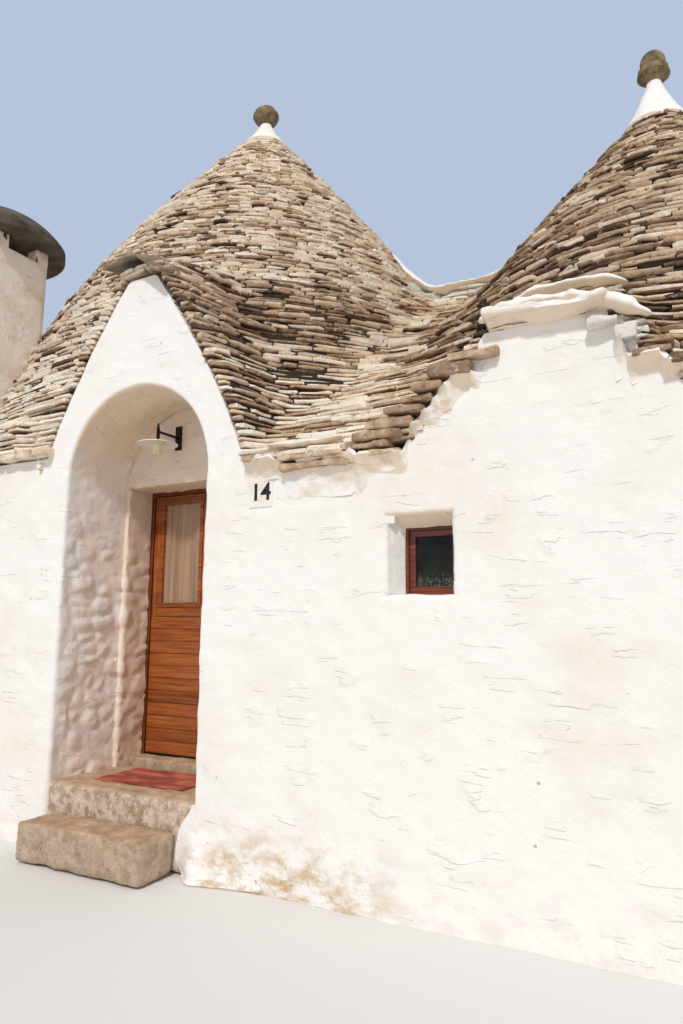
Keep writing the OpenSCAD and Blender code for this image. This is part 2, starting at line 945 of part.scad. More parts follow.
module window_sash() color(mahogany)
    window_place() translate([window_bar, sash_set, window_bar])
        ring(window_w - 2 * window_bar, window_h - 2 * window_bar, sash_bar, sash_t);

module window_glass() color("#2f3a36")
    window_place()
        translate([window_bar + sash_bar, sash_set + (sash_t - pane_t) / 2, window_bar + sash_bar])
            cube([
                window_w - 2 * (window_bar + sash_bar), pane_t,
                window_h - 2 * (window_bar + sash_bar)
            ]);

module number_plate() color("white")
    translate([-plate_x - plate_w / 2, front_y - plate_t, plate_low])
        cube([plate_w, plate_t, plate_h]);

// Lamp parts, drawn with the wall at Y = 0 and the room side behind it
module at_lamp() translate([-porch_x - lamp_x, vault_y, lamp_h]) children();

module lamp_bracket() color("#1c1b1a")
    at_lamp() {
        translate([-lamp_plate_w / 2, -lamp_plate_t, -lamp_plate_h / 2])
            cube([lamp_plate_w, lamp_plate_t, lamp_plate_h]);
        translate([-arm_r, -lamp_reach - arm_r, -arm_r])
            cube([2 * arm_r, lamp_reach + arm_r - lamp_plate_t, 2 * arm_r]);
        translate([0, -lamp_reach, -shade_drop]) cylinder(r = socket_r, h = shade_drop - arm_r);
        translate([0, -lamp_reach, arm_r]) cylinder(r1 = spike_r, r2 = arm_r / 2, h = spike_h);
    }

module lamp_shade() color("white")
    at_lamp() translate([0, -lamp_reach, -shade_drop - shade_h])
        rotate_extrude()
            polygon([
                [0, shade_h - shade_t], [bulb_r, shade_h - shade_t], [shade_r, 0],
                [shade_r, shade_t],
                [bulb_r, shade_h], [0, shade_h]
            ]);

module lamp_glass() color("#efe3c4")
    at_lamp() translate([0, -lamp_reach, -shade_drop - shade_t - bulb_h])
        cylinder(r = bulb_r, h = bulb_h);

module door_mat() color("#a3402f")
    translate([-porch_x - mat_shift, sill_y - mat_gap - mat_d / 2, porch_floor_h])
        rotate([0, 0, mat_turn])
            translate([-mat_w / 2, -mat_d / 2, 0]) cube([mat_w, mat_d, mat_t]);

front_wall_left();
front_wall_middle();
front_wall_right();
wall_under_window();
wall_over_window();
back_wall();
left_party_wall();
right_party_wall();
shared_wall();
left_floor();
right_floor();
porch_floor();
door_sill();
lower_step();
porch_gable();
door_lintel();
gable_roof();
gable_cap();
left_dome();
left_cone();
right_dome();
right_cone();
saddle_roof();
left_eaves();
right_eaves();
eyebrow_wall();
eyebrow_roof();
eyebrow_hood();
left_finial();
left_ball();
right_finial();
right_ball();
chimney_shaft();
chimney_cap();
door_frame();
left_door();
right_door();
left_door_glass();
right_door_glass();
window_frame();
window_sash();
window_glass();
number_plate();
lamp_bracket();
lamp_shade();
lamp_glass();
door_mat();
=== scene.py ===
import bpy
import numpy as np
from mathutils import Matrix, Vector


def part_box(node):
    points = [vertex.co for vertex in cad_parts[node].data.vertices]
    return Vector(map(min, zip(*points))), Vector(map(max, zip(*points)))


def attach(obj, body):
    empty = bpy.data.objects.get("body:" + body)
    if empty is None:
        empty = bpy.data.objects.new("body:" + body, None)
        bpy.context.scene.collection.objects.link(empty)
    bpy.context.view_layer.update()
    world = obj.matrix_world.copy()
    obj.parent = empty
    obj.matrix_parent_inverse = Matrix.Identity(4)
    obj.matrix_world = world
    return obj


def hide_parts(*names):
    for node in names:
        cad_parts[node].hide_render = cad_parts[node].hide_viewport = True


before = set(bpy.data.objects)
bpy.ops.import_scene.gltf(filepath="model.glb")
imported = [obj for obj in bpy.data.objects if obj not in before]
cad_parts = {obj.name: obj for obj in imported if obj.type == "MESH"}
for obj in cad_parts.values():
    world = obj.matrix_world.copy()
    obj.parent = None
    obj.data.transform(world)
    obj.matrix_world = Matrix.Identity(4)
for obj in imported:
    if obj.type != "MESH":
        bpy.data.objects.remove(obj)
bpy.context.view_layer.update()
print("frame loaded", len(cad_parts), "nodes")

# Planes and heights that the pieces share, from the frame, in metres
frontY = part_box("front_wall_right")[0][1]
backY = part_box("back_wall")[1][1]
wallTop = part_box("front_wall_right")[1][2]
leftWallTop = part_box("front_wall_left")[1][2]
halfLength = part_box("right_party_wall")[1][0]
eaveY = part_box("right_eaves")[0][1]
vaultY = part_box("door_lintel")[0][1]
doorwayLow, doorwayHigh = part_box("door_frame")
windowLow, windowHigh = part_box("window_frame")


# Noise and small sums

def cellValue(cells, seed):
    # whole-number cells are scrambled into repeatable values from 0 to 1
    mixed = cells[..., 0] * 374761393 + cells[..., 1] * 668265263 + cells[..., 2] * 1103515245
    mixed = (mixed + seed * 974711) & 0xFFFFFFFF
    mixed = ((mixed ^ (mixed >> 13)) * 1274126177) & 0xFFFFFFFF
    mixed = ((mixed ^ (mixed >> 15)) * 668265263) & 0xFFFFFFFF
    return ((mixed ^ (mixed >> 16)) & 0xFFFFF) / 0xFFFFF


def softNoise(points, size, seed):
    # each corner of a lattice has a random value, eased across the cell between; -1 to 1
    cell = points / size
    low = np.floor(cell).astype(np.int64)
    share = cell - low
    share = share * share * (3 - 2 * share)
    total = np.zeros(points.shape[:-1])
    for corner in range(8):
        step = np.array([corner & 1, corner >> 1 & 1, corner >> 2 & 1])
        weight = np.prod(np.where(step == 1, share, 1 - share), axis=-1)
        total += weight * cellValue(low + step, seed)
    return 2 * total - 1


def stoneCells(points, size, seed):
    # one random point in each cell stands for a stone: how much further the second nearest lies
    # than the nearest is 0 along the joints and grows to the stone's middle. Also the stone's own
    # random value.
    cell = points / np.array(size)
    low = np.floor(cell).astype(np.int64)
    nearest = np.full(points.shape[:-1], 9.0)
    second = np.full(points.shape[:-1], 9.0)
    value = np.zeros(points.shape[:-1])
    for corner in range(27):
        near = low + np.array([corner % 3 - 1, corner // 3 % 3 - 1, corner // 9 - 1])
        place = np.stack([cellValue(near, seed + axis) for axis in range(3)], -1)
        gap = np.linalg.norm(near + 0.1 + 0.8 * place - cell, axis=-1)
        closer = gap < nearest
        second = np.where(closer, nearest, np.minimum(second, gap))
        value = np.where(closer, cellValue(near, seed + 5), value)
        nearest = np.minimum(nearest, gap)
    return second - nearest, value


def easeBetween(low, high, value):
    # 0 up to low and 1 from high, eased between them
    share = np.clip((value - low) / (high - low), 0, 1)
    return share * share * (3 - 2 * share)


def within(low, high, value, edge):
    # 1 between low and high, eased to 0 over the edge's width outside them
    return easeBetween(low - edge, low, value) * (1 - easeBetween(high, high + edge, value))


def unit(vectors):
    # each vector over its own length
    return vectors / np.maximum(np.linalg.norm(vectors, axis=-1, keepdims=True), 1e-9)


def middleOf(node):
    # middle of a node's box
    low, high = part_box(node)
    return (np.array(low) + np.array(high)) / 2


# Meshes

def addObject(name, data):
    made = bpy.data.objects.new(name, data)
    bpy.context.scene.collection.objects.link(made)
    return made


def makePiece(name, points, faces, material, body="house", crease=40, values=None):
    # faces is a list of whole arrays, each with rows of 3 or 4 corners. Points are held inside the
    # party planes, the back eaves and the ground.
    points = np.clip(points, (-halfLength, -9, 0.0005), (halfLength, -eaveY, 9))
    mesh = bpy.data.meshes.new(name)
    mesh.vertices.add(len(points))
    mesh.vertices.foreach_set("co", np.asarray(points, np.float32).ravel())
    corners = np.concatenate([rows.ravel() for rows in faces]).astype(np.int32)
    sizes = np.concatenate([np.full(len(rows), rows.shape[1]) for rows in faces])
    starts = np.concatenate([[0], np.cumsum(sizes)[:-1]]).astype(np.int32)
    mesh.loops.add(len(corners))
    mesh.loops.foreach_set("vertex_index", corners)
    mesh.polygons.add(len(sizes))
    mesh.polygons.foreach_set("loop_start", starts)
    mesh.update(calc_edges=True)
    mesh.validate()
    for key, numbers in (values or {}).items():
        made = mesh.attributes.new(key, "FLOAT", "POINT")
        made.data.foreach_set("value", numbers.astype(np.float32))
    mesh.shade_smooth()
    mesh.set_sharp_from_angle(angle=np.radians(crease))
    mesh.materials.append(material)
    piece = addObject(name, mesh)
    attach(piece, body)
    return piece


def resample(path, count):
    # points at even distances along a path
    along = np.concatenate([[0], np.cumsum(np.linalg.norm(np.diff(path, axis=0), axis=-1))])
    spots = np.linspace(0, along[-1], count)
    return np.stack([np.interp(spots, along, path[:, axis]) for axis in range(path.shape[1])], -1)


def gridFaces(rows, columns, start=0, wrap=False):
    # four corners of each cell of a grid, with its last row joined to its first if it wraps
    row = np.arange(rows if wrap else rows - 1)[:, None]
    low = row * columns + np.arange(columns - 1)
    high = (row + 1) % rows * columns + np.arange(columns - 1)
    return start + np.stack([low, low + 1, high + 1, high], -1).reshape(-1, 4)


def gridNormals(points, wrap=False):
    # cross product of the grid's two directions at each point
    if wrap:
        along = np.roll(points, -1, 0) - np.roll(points, 1, 0)
    else:
        along = np.gradient(points, axis=0)
    across = np.gradient(points, axis=1)
    return unit(np.cross(across, along))


def shellFaces(rows, columns, wrap=False):
    # front grid, back grid turned over, and the rims between them
    front = gridFaces(rows, columns, 0, wrap)
    back = gridFaces(rows, columns, rows * columns, wrap)[:, ::-1]
    ids = np.arange(rows * columns).reshape(rows, columns)
    rims = []
    lines = [ids[:, 0][::-1], ids[:, -1]]
    if wrap:
        lines = [np.append(line, line[0]) for line in lines]
    else:
        lines += [ids[0], ids[-1][::-1]]
    for line in lines:
        other = line + rows * columns
        rims.append(np.stack([line[:-1], other[:-1], other[1:], line[1:]], -1))
    return [front, back] + rims


def between(top, under):
    # closed sheet from two grids of the same size, one over the other
    points = np.concatenate([top.reshape(-1, 3), under.reshape(-1, 3)])
    return points, [rows[:, ::-1] for rows in shellFaces(*top.shape[:2])]


def shellPiece(name, base, lift, depth, material, wrap=False, crease=60, outward=None):
    # closed skin on a base grid: the front is lifted along the normals, the back lies behind it
    normal = gridNormals(base, wrap)
    faces = shellFaces(base.shape[0], base.shape[1], wrap)
    if outward is not None and np.sum(normal * outward) < 0:
        normal = -normal
        faces = [rows[:, ::-1] for rows in faces]
    front = base + normal * lift[..., None]
    back = base - normal * depth
    points = np.concatenate([front.reshape(-1, 3), back.reshape(-1, 3)])
    makePiece(name, points, faces, material, crease=crease)


def roundedBlock(low, high, edge, cell, lumps, seed, tilt=None):
    # box whose surface lattice is pulled onto a core grown by the edge radius, then pushed in and
    # out along the outward direction by two sizes of noise
    low, high = np.array(low, float), np.array(high, float)
    edge = min(edge, 0.49 * np.min(high - low))
    lines = []
    for axis in range(3):
        length = high[axis] - low[axis]
        inner = np.linspace(edge, length - edge, max(2, round((length - 2 * edge) / cell) + 1))
        line = np.concatenate([[0, 0.4 * edge], inner, [length - 0.4 * edge, length]])
        lines.append(low[axis] + line)
    counts = [len(line) for line in lines]
    ids = np.full(counts, -1)
    shape = np.indices(counts)
    outer = np.zeros(counts, bool)
    for axis in range(3):
        outer |= (shape[axis] == 0) | (shape[axis] == counts[axis] - 1)
    ids[outer] = np.arange(outer.sum())
    points = np.stack([lines[axis][shape[axis][outer]] for axis in range(3)], -1)
    core = np.clip(points, low + edge, high - edge)
    away = unit(points - core)
    points = core + edge * away
    push = lumps * softNoise(points, 6 * lumps + 0.05, seed) - 0.6 * lumps
    push += 0.35 * lumps * softNoise(points, 0.025, seed + 1)
    points = points + away * push[:, None]
    if tilt is not None:
        pivot, angle = tilt
        turned = points - pivot
        points = pivot + np.stack([
            turned[:, 0],
            turned[:, 1] * np.cos(angle) - turned[:, 2] * np.sin(angle),
            turned[:, 1] * np.sin(angle) + turned[:, 2] * np.cos(angle)], -1)
    faces = []
    for axis in range(3):
        for end in (0, -1):
            side = np.take(ids, end, axis=axis)
            quad = np.stack([side[:-1, :-1], side[1:, :-1], side[1:, 1:], side[:-1, 1:]], -1)
            quad = quad.reshape(-1, 4)
            flip = (end == 0) == (axis != 1)
            faces.append(quad[:, ::-1] if flip else quad)
    return points, faces


def joinShapes(shapes):
    # several closed shapes as one list of points and faces, with a number for each point's shape
    points, faces, owner, start = [], [], [], 0
    for number, (part, rows) in enumerate(shapes):
        points.append(part)
        faces += [row + start for row in rows]
        owner.append(np.full(len(part), number))
        start += len(part)
    return np.concatenate(points), faces, np.concatenate(owner)


def turnedShape(profile, centre, segments, lumps, seed):
    # outline of radius and height spun about an upright axis, closed by a point at both ends
    angle = np.linspace(0, 2 * np.pi, segments, endpoint=False)
    radius, height = np.array(profile).T
    ring = np.stack([
        centre[0] + radius[None, 1:-1] * np.cos(angle)[:, None],
        centre[1] + radius[None, 1:-1] * np.sin(angle)[:, None],
        np.broadcast_to(height[1:-1], (segments, len(profile) - 2))], -1)
    middle = np.array([centre[0], centre[1], 0])
    away = unit(ring - middle - np.array([0, 0, np.mean(height)]))
    push = lumps * softNoise(ring, 0.07, seed) + 0.4 * lumps * softNoise(ring, 0.022, seed + 1)
    ring = ring + away * push[..., None]
    columns = len(profile) - 2
    tips = [middle + [0, 0, height[0]], middle + [0, 0, height[-1]]]
    points = np.concatenate([ring.reshape(-1, 3), tips])
    foot, top = segments * columns, segments * columns + 1
    here = np.arange(segments) * columns
    after = np.roll(here, -1)
    low = np.stack([np.full(segments, foot), after, here], -1)
    high = np.stack([np.full(segments, top), here + columns - 1, after + columns - 1], -1)
    return points, [gridFaces(segments, columns, 0, True)[:, ::-1], low, high]


# Materials

def paint(red, green, blue):
    # a colour as it is seen, 0 to 255, turned into light
    seen = np.array([red, green, blue]) / 255
    return (*np.where(seen < 0.04045, seen / 12.92, ((seen + 0.055) / 1.055) ** 2.4), 1.0)


def addNode(kind, inputs=None, beside=None, **settings):
    # a node in the tree of what it stands beside, or else of the first socket among its inputs
    inputs = inputs or {}
    linked = [key for key, value in inputs.items() if isinstance(value, bpy.types.NodeSocket)]
    tree = (inputs[linked[0]] if beside is None else beside).id_data
    made = tree.nodes.new(kind)
    for key, value in settings.items():
        setattr(made, key, value)
    for key, value in inputs.items():
        if key in linked:
            tree.links.new(value, made.inputs[key])
        else:
            made.inputs[key].default_value = value
    return made


def startMaterial(name, roughness, **finish):
    # the shader with its own plain values, and the object's coordinates to paint by
    material = bpy.data.materials.new(name)
    material.use_nodes = True
    shader = material.node_tree.nodes["Principled BSDF"]
    shader.inputs["Roughness"].default_value = roughness
    for key, value in finish.items():
        shader.inputs[key].default_value = value
    return material, shader, addNode("ShaderNodeTexCoord", beside=shader).outputs["Object"]


def stretched(place, scale):
    # coordinates times a factor along each axis
    return addNode("ShaderNodeMapping", {"Vector": place, "Scale": scale}).outputs["Vector"]


def noise(place, scale, detail=4.0, roughness=0.55, distortion=0.0):
    return addNode("ShaderNodeTexNoise", {
        "Vector": place, "Scale": scale, "Detail": detail, "Roughness": roughness,
        "Distortion": distortion}).outputs["Fac"]


def ramp(share, stops):
    # colours at places from 0 to 1, in straight steps between them
    made = addNode("ShaderNodeValToRGB", {"Fac": share})
    band = made.color_ramp
    while len(band.elements) < len(stops):
        band.elements.new(0.5)
    for element, (place, colour) in zip(band.elements, stops):
        element.position = place
        element.color = colour
    return made.outputs["Color"]


def fade(value, low, high):
    # eased from 0 at low to 1 at high, which may lie below low
    return addNode("ShaderNodeMapRange", {
        "Value": value, "From Min": low, "From Max": high, "To Min": 0.0, "To Max": 1.0},
        interpolation_type="SMOOTHSTEP").outputs["Result"]


def blend(share, first, second, mode="MIX"):
    return addNode("ShaderNodeMix", {0: share, 6: first, 7: second}, data_type="RGBA",
                   blend_type=mode).outputs[2]


def sums(how, *values):
    return addNode("ShaderNodeMath", dict(enumerate(values)), operation=how).outputs[0]


def times(first, second):
    return sums("MULTIPLY", first, second)


def plus(first, second):
    return sums("ADD", first, second)


def axisOf(place, axis):
    return addNode("ShaderNodeSeparateXYZ", {0: place}).outputs[axis]


def facingUp(place):
    # 1 on top of things, 0 on upright sides and -1 below
    return axisOf(addNode("ShaderNodeNewGeometry", beside=place).outputs["Normal"], "Z")


def bump(shader, height, distance, strength=1.0):
    made = addNode("ShaderNodeBump", {"Height": height, "Distance": distance, "Strength": strength})
    made.id_data.links.new(made.outputs["Normal"], shader.inputs["Normal"])


def colourIn(shader, colour):
    shader.id_data.links.new(colour, shader.inputs["Base Color"])


limewash = {
    "white": paint(243, 241, 238),
    "cream": paint(236, 230, 220),
    # painted warm shade inside the porch
    "porch": paint(252, 240, 228),
    # painted deeper shade at the porch's back
    "deep": paint(222, 198, 174),
    "foot": paint(204, 178, 142),
    "speck": paint(120, 106, 80),
    # painted warm shade on faces that look down
    "under": paint(238, 214, 184),
    "stainTop": 0.50,
    "stainX": (-0.9, 0.9),
    "porchX": -1.25,
    "porchHalf": 0.72,
    "porchBack": 1.2,
}


def makeLimewash():
    # white with creamy clouds; painted warm shade inside the porch, deeper at its back, and on
    # faces that look down; dust-stained and speckled at the wall's foot
    material, shader, place = startMaterial("limewash", 0.92)
    clouds = noise(place, 1.7, 5)
    colour = blend(fade(clouds, 0.45, 0.78), limewash["white"], limewash["cream"])
    depth = axisOf(place, "Y")
    height = axisOf(place, "Z")
    side = axisOf(place, "X")
    aside = sums("ABSOLUTE", plus(side, -limewash["porchX"]))
    porch = sums("LESS_THAN", aside, limewash["porchHalf"])
    porch = times(fade(depth, frontY + 0.01, frontY + 0.16), porch)
    porch = times(porch, sums("LESS_THAN", depth, vaultY + limewash["porchBack"]))
    # painted warm shade inside the porch, laid on in patches
    porchWarmShadePatches = fade(noise(place, 6, 5, 0.65), 0.3, 0.62)
    colour = blend(times(porch, porchWarmShadePatches), colour, limewash["porch"])
    # painted deeper shade on the porch's back wall
    inner = times(fade(depth, vaultY - 0.05, vaultY + 0.02), porch)
    colour = blend(times(inner, 0.8), colour, limewash["deep"])
    low = fade(height, limewash["stainTop"], 0.0)
    left, right = limewash["stainX"]
    near = times(fade(side, left, -0.3), fade(side, right, 0.3))
    patchy = fade(noise(stretched(place, (1, 1, 1.8)), 5, 6, 0.65), 0.42, 0.66)
    stain = times(times(low, plus(near, 0.22)), patchy)
    colour = blend(stain, colour, limewash["foot"])
    speckled = fade(noise(place, 34, 5, 0.75), 0.60, 0.68)
    specks = times(times(low, plus(near, 0.15)), speckled)
    colour = blend(times(specks, 0.75), colour, limewash["speck"])
    # painted warm shade: faces that look down are tinted cream
    below = fade(facingUp(place), -0.05, -0.6)
    colour = blend(times(below, 0.75), colour, limewash["under"])
    dots = addNode("ShaderNodeTexVoronoi", {"Vector": place, "Scale": 5.0})
    dots = fade(dots.outputs["Distance"], 0.05, 0.03)
    holes = times(dots, fade(noise(place, 3, 2), 0.52, 0.58))
    colour = blend(times(holes, 0.5), colour, limewash["speck"])
    colourIn(shader, colour)
    grain = plus(noise(place, 9, 6, 0.6), times(noise(place, 60, 5, 0.65), 0.3))
    grain = plus(grain, times(holes, -0.5))
    step = fade(noise(stretched(place, (0.8, 1, 5.5)), 3.0, 3, 0.5, 0.4), 0.54, 0.565)
    where = fade(noise(place, 4.5, 2), 0.52, 0.62)
    bump(shader, plus(grain, times(times(step, where), 0.5)), 0.014, 0.7)
    return material


roofColours = {
    "darkest": paint(60, 42, 28),
    "dark": paint(120, 93, 68),
    "middle": paint(190, 161, 133),
    "light": paint(240, 215, 187),
    "lightest": paint(255, 245, 228),
    "black": paint(50, 40, 30),
    "pale": paint(230, 220, 205),
    "ochre": paint(172, 126, 80),
    "white": paint(243, 239, 230),
    "gap": paint(38, 29, 21),
    "gapLight": paint(56, 43, 32),
}


def makeRoofStone():
    # each point's tone moves along the ramp with a fine mottle; ochre, pale and black patches lie
    # over it, and white where the wash is strong
    material, shader, place = startMaterial("roofStone", 0.93)
    tone = addNode("ShaderNodeAttribute", beside=place, attribute_name="tone").outputs["Fac"]
    wash = addNode("ShaderNodeAttribute", beside=place, attribute_name="wash").outputs["Fac"]
    mottle = noise(place, 11, 6, 0.65)
    shade = plus(tone, times(plus(mottle, -0.5), 0.8))
    colour = ramp(shade, [
        (0.0, roofColours["darkest"]), (0.25, roofColours["dark"]), (0.5, roofColours["middle"]),
        (0.75, roofColours["light"]), (1.0, roofColours["lightest"])])
    warm = fade(noise(stretched(place, (1, 1, 2.5)), 3.4, 4, 0.6), 0.56, 0.70)
    colour = blend(times(warm, 0.4), colour, roofColours["ochre"])
    pale = fade(noise(place, 23, 5, 0.7), 0.6, 0.68)
    colour = blend(times(pale, 0.6), colour, roofColours["pale"])
    black = fade(noise(place, 48, 6, 0.75), 0.58, 0.66)
    colour = blend(times(black, 0.6), colour, roofColours["black"])
    worn = fade(plus(wash, times(plus(noise(place, 18, 5, 0.7), -0.5), 0.9)), 0.42, 0.56)
    colour = blend(worn, colour, roofColours["white"])
    colourIn(shader, colour)
    grain = plus(noise(place, 28, 8, 0.7), times(black, -0.15))
    bump(shader, grain, 0.02, 1.0)
    return material


def makeRoofGap():
    # earth and shade in the joints
    material, shader, place = startMaterial("roofGap", 0.95)
    colour = ramp(noise(place, 9, 5), [(0.3, roofColours["gap"]), (0.7, roofColours["gapLight"])])
    colourIn(shader, colour)
    bump(shader, noise(place, 20, 6), 0.02, 1.0)
    return material


# light, middle, dark and speck colours, the grain's size, and how much lime is left on the sides
stones = {
    "stepStone": ((216, 188, 157), (186, 155, 125), (148, 118, 90), (84, 68, 50), 0.7, 0.35),
    "riserStone": ((216, 188, 157), (190, 160, 131), (158, 128, 100), (84, 68, 50), 0.7, 0.85),
    "chimneyRender": ((253, 247, 240), (247, 235, 222), (228, 208, 190), (176, 152, 130), 1.2, 0.0),
    "capStone": ((120, 108, 92), (84, 76, 66), (52, 45, 34), (42, 38, 30), 0.8, 0.0),
    "slabStone": ((184, 172, 150), (140, 126, 106), (96, 82, 64), (62, 54, 42), 0.8, 0.0),
    "ballStone": ((176, 156, 104), (118, 102, 78), (70, 60, 42), (196, 178, 140), 0.6, 0.0),
}
limeOnStone = {"veil": paint(150, 130, 110), "white": paint(224, 208, 192)}


def makeSpeckledStone(name):
    # clouded stone with small dark specks in patches and pits; lime leaves white remains on sides
    *colours, size, lime = stones[name]
    light, middle, dark, spots = (paint(*colour) for colour in colours)
    material, shader, place = startMaterial(name, 0.9)
    colour = ramp(noise(place, 6 / size, 6, 0.65), [(0.28, dark), (0.5, middle), (0.74, light)])
    patches = fade(noise(place, 4 / size, 3), 0.42, 0.6)
    fine = times(fade(noise(place, 46 / size, 6, 0.78), 0.56, 0.63), patches)
    pits = addNode("ShaderNodeTexVoronoi", {"Vector": place, "Scale": 60 / size})
    hollow = fade(pits.outputs["Distance"], 0.10, 0.34)
    if lime:
        upright = fade(facingUp(place), 0.75, 0.25)
        remains = times(fade(noise(place, 15, 7, 0.75), 0.40, 0.58), upright)
        colour = blend(times(upright, 0.5), colour, limeOnStone["veil"])
        colour = blend(times(remains, lime), colour, limeOnStone["white"])
        fine = times(fine, plus(times(upright, 0.7), 0.3))
    colour = blend(times(fine, 0.75), colour, spots)
    colourIn(shader, colour)
    bump(shader, plus(noise(place, 22 / size, 8, 0.7), times(hollow, 0.35)), 0.010, 0.9)
    return material


# light, middle and dark colours, and the axis that the grain runs along
woods = {
    "doorWood": ((178, 102, 46), (149, 77, 28), (96, 45, 15), "X"),
    "frameWood": ((136, 66, 28), (104, 46, 18), (66, 28, 10), "Z"),
    "windowWood": ((158, 74, 36), (110, 46, 22), (52, 18, 8), "X"),
}
varnish = {"Coat Weight": 0.22, "Coat Roughness": 0.25}
grooveColour = paint(44, 20, 8)
doorBoards = {"step": 0.0963, "count": 11, "foot": 0.514, "stile": 0.07}


def boardStiles():
    # low X of the upright stiles at both sides of both leaves
    starts = []
    for node in ("left_door", "right_door"):
        low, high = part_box(node)
        starts += [low[0], low[0] + (high[0] - low[0] - doorBoards["stile"])]
    return starts


def makeVarnishedWood(name, boards=None):
    # grain is noise drawn out along the boards, with a lighter or darker tone on each board
    *colours, grainAlong = woods[name]
    light, middle, dark = (paint(*colour) for colour in colours)
    material, shader, place = startMaterial(name, 0.38, **varnish)
    lengths = {"X": (1.3, 22, 30), "Z": (26, 22, 1.3)}
    fibres = noise(stretched(place, lengths[grainAlong]), 2.2, 7, 0.62, 0.6)
    if boards:
        upright = noise(stretched(place, lengths["Z"]), 2.2, 7, 0.62, 0.6)
        side = axisOf(place, "X")
        stiles = None
        for low in boardStiles():
            high = low + boards["stile"]
            edge = times(sums("GREATER_THAN", side, low), sums("LESS_THAN", side, high))
            stiles = edge if stiles is None else sums("MAXIMUM", stiles, edge)
        top = boards["foot"] + boards["count"] * boards["step"]
        stiles = times(stiles, sums("GREATER_THAN", axisOf(place, "Z"), top))
        fibres = addNode("ShaderNodeMix", {0: stiles, 2: fibres, 3: upright}).outputs[0]
        row = sums("DIVIDE", plus(axisOf(place, "Z"), -boards["foot"]), boards["step"])
        part = sums("FRACT", row)
        row = sums("FLOOR", row)
        tone = addNode("ShaderNodeTexWhiteNoise", {"W": row}, noise_dimensions="1D")
        fibres = plus(fibres, times(plus(tone.outputs["Value"], -0.5), 0.16))
        groove = times(fade(part, 0.09, 0.03), sums("SUBTRACT", 1.0, stiles))
    colour = ramp(fibres, [(0.28, dark), (0.5, middle), (0.7, light)])
    if boards:
        colour = blend(times(groove, 0.8), colour, grooveColour)
    colourIn(shader, colour)
    bump(shader, fibres, 0.0012, 0.5)
    return material


glass = {
    "doorGloss": {"Coat Weight": 0.6, "Coat Roughness": 0.05},
    # painted shade in the blind's fold hollows and painted light on their ridges
    "foldDark": paint(142, 114, 90),
    "foldLight": paint(186, 156, 130),
    "windowGloss": {"Specular IOR Level": 0.25},
    # low: painted reflection low on the pane; high: painted shade of the dark room behind it
    "low": (paint(36, 42, 30), paint(110, 118, 100)),
    "high": (paint(14, 14, 8), paint(36, 36, 24)),
}


def makeDoorGlass():
    # glass with a pale blind behind it: soft folds in painted shade and painted light, and the
    # glass's gloss on top
    material, shader, place = startMaterial("doorGlass", 0.12, **glass["doorGloss"])
    folds = noise(stretched(place, (26, 1, 0.8)), 1.0, 3)
    colourIn(shader, ramp(folds, [(0.3, glass["foldDark"]), (0.7, glass["foldLight"])]))
    bump(shader, noise(place, 7, 2), 0.004, 0.25)
    return material


def makeWindowGlass():
    # dark room behind the pane as painted shade, and a paler crumpled painted reflection low down
    material, shader, place = startMaterial("windowGlass", 0.08, **glass["windowGloss"])
    depth = fade(axisOf(place, "Z"), 1.74, 1.82)
    crumpledReflection = fade(noise(stretched(place, (1, 1, 0.6)), 70, 4, 0.7, 1.5), 0.5, 0.62)
    low = blend(crumpledReflection, *glass["low"])
    high = ramp(noise(place, 9, 3), list(zip((0.3, 0.7), glass["high"])))
    colourIn(shader, blend(depth, low, high))
    bump(shader, noise(place, 5, 2), 0.003, 0.2)
    return material


def makeMetal(name, colour, spot, roughness, metallic):
    # plain metal or enamel with small rubbed or rusty spots
    material, shader, place = startMaterial(name, roughness, Metallic=metallic)
    rust = fade(noise(place, 60, 6, 0.7), 0.58, 0.68)
    colourIn(shader, blend(times(rust, 0.6), colour, spot))
    bump(shader, noise(place, 130, 5), 0.0015, 0.6)
    return material


cloth = {
    "dark": paint(150, 46, 22),
    "middle": paint(192, 78, 44),
    "light": paint(222, 124, 84),
    "rows": paint(110, 42, 30),
    "sheen": {"Sheen Weight": 0.1},
}


def makeMatCloth():
    # woven rows across the mat, with a check of lighter and darker red blocks
    material, shader, place = startMaterial("matCloth", 0.95, **cloth["sheen"])
    weft, warp = (
        addNode("ShaderNodeTexWave", {"Vector": place, "Scale": scale, "Distortion": 0.6},
                bands_direction=axis).outputs["Fac"]
        for scale, axis in ((85.0, "Y"), (60.0, "X")))
    blocks = noise(stretched(place, (6, 11, 1)), 1.0, 2, 0.5)
    colour = ramp(blocks, [(0.32, cloth["dark"]), (0.5, cloth["middle"]), (0.68, cloth["light"])])
    rows = times(weft, warp)
    colour = blend(times(rows, 0.35), colour, cloth["rows"])
    colourIn(shader, colour)
    bump(shader, plus(rows, noise(place, 90, 4)), 0.003, 0.8)
    return material


def makePlain(name, colour, other, roughness, scale):
    # two close colours in clouds of one size, under a faint bump
    material, shader, place = startMaterial(name, roughness)
    mix = fade(noise(place, scale, 4), 0.4, 0.7)
    colourIn(shader, blend(mix, colour, other))
    bump(shader, noise(place, scale * 3, 4), 0.0008, 0.4)
    return material


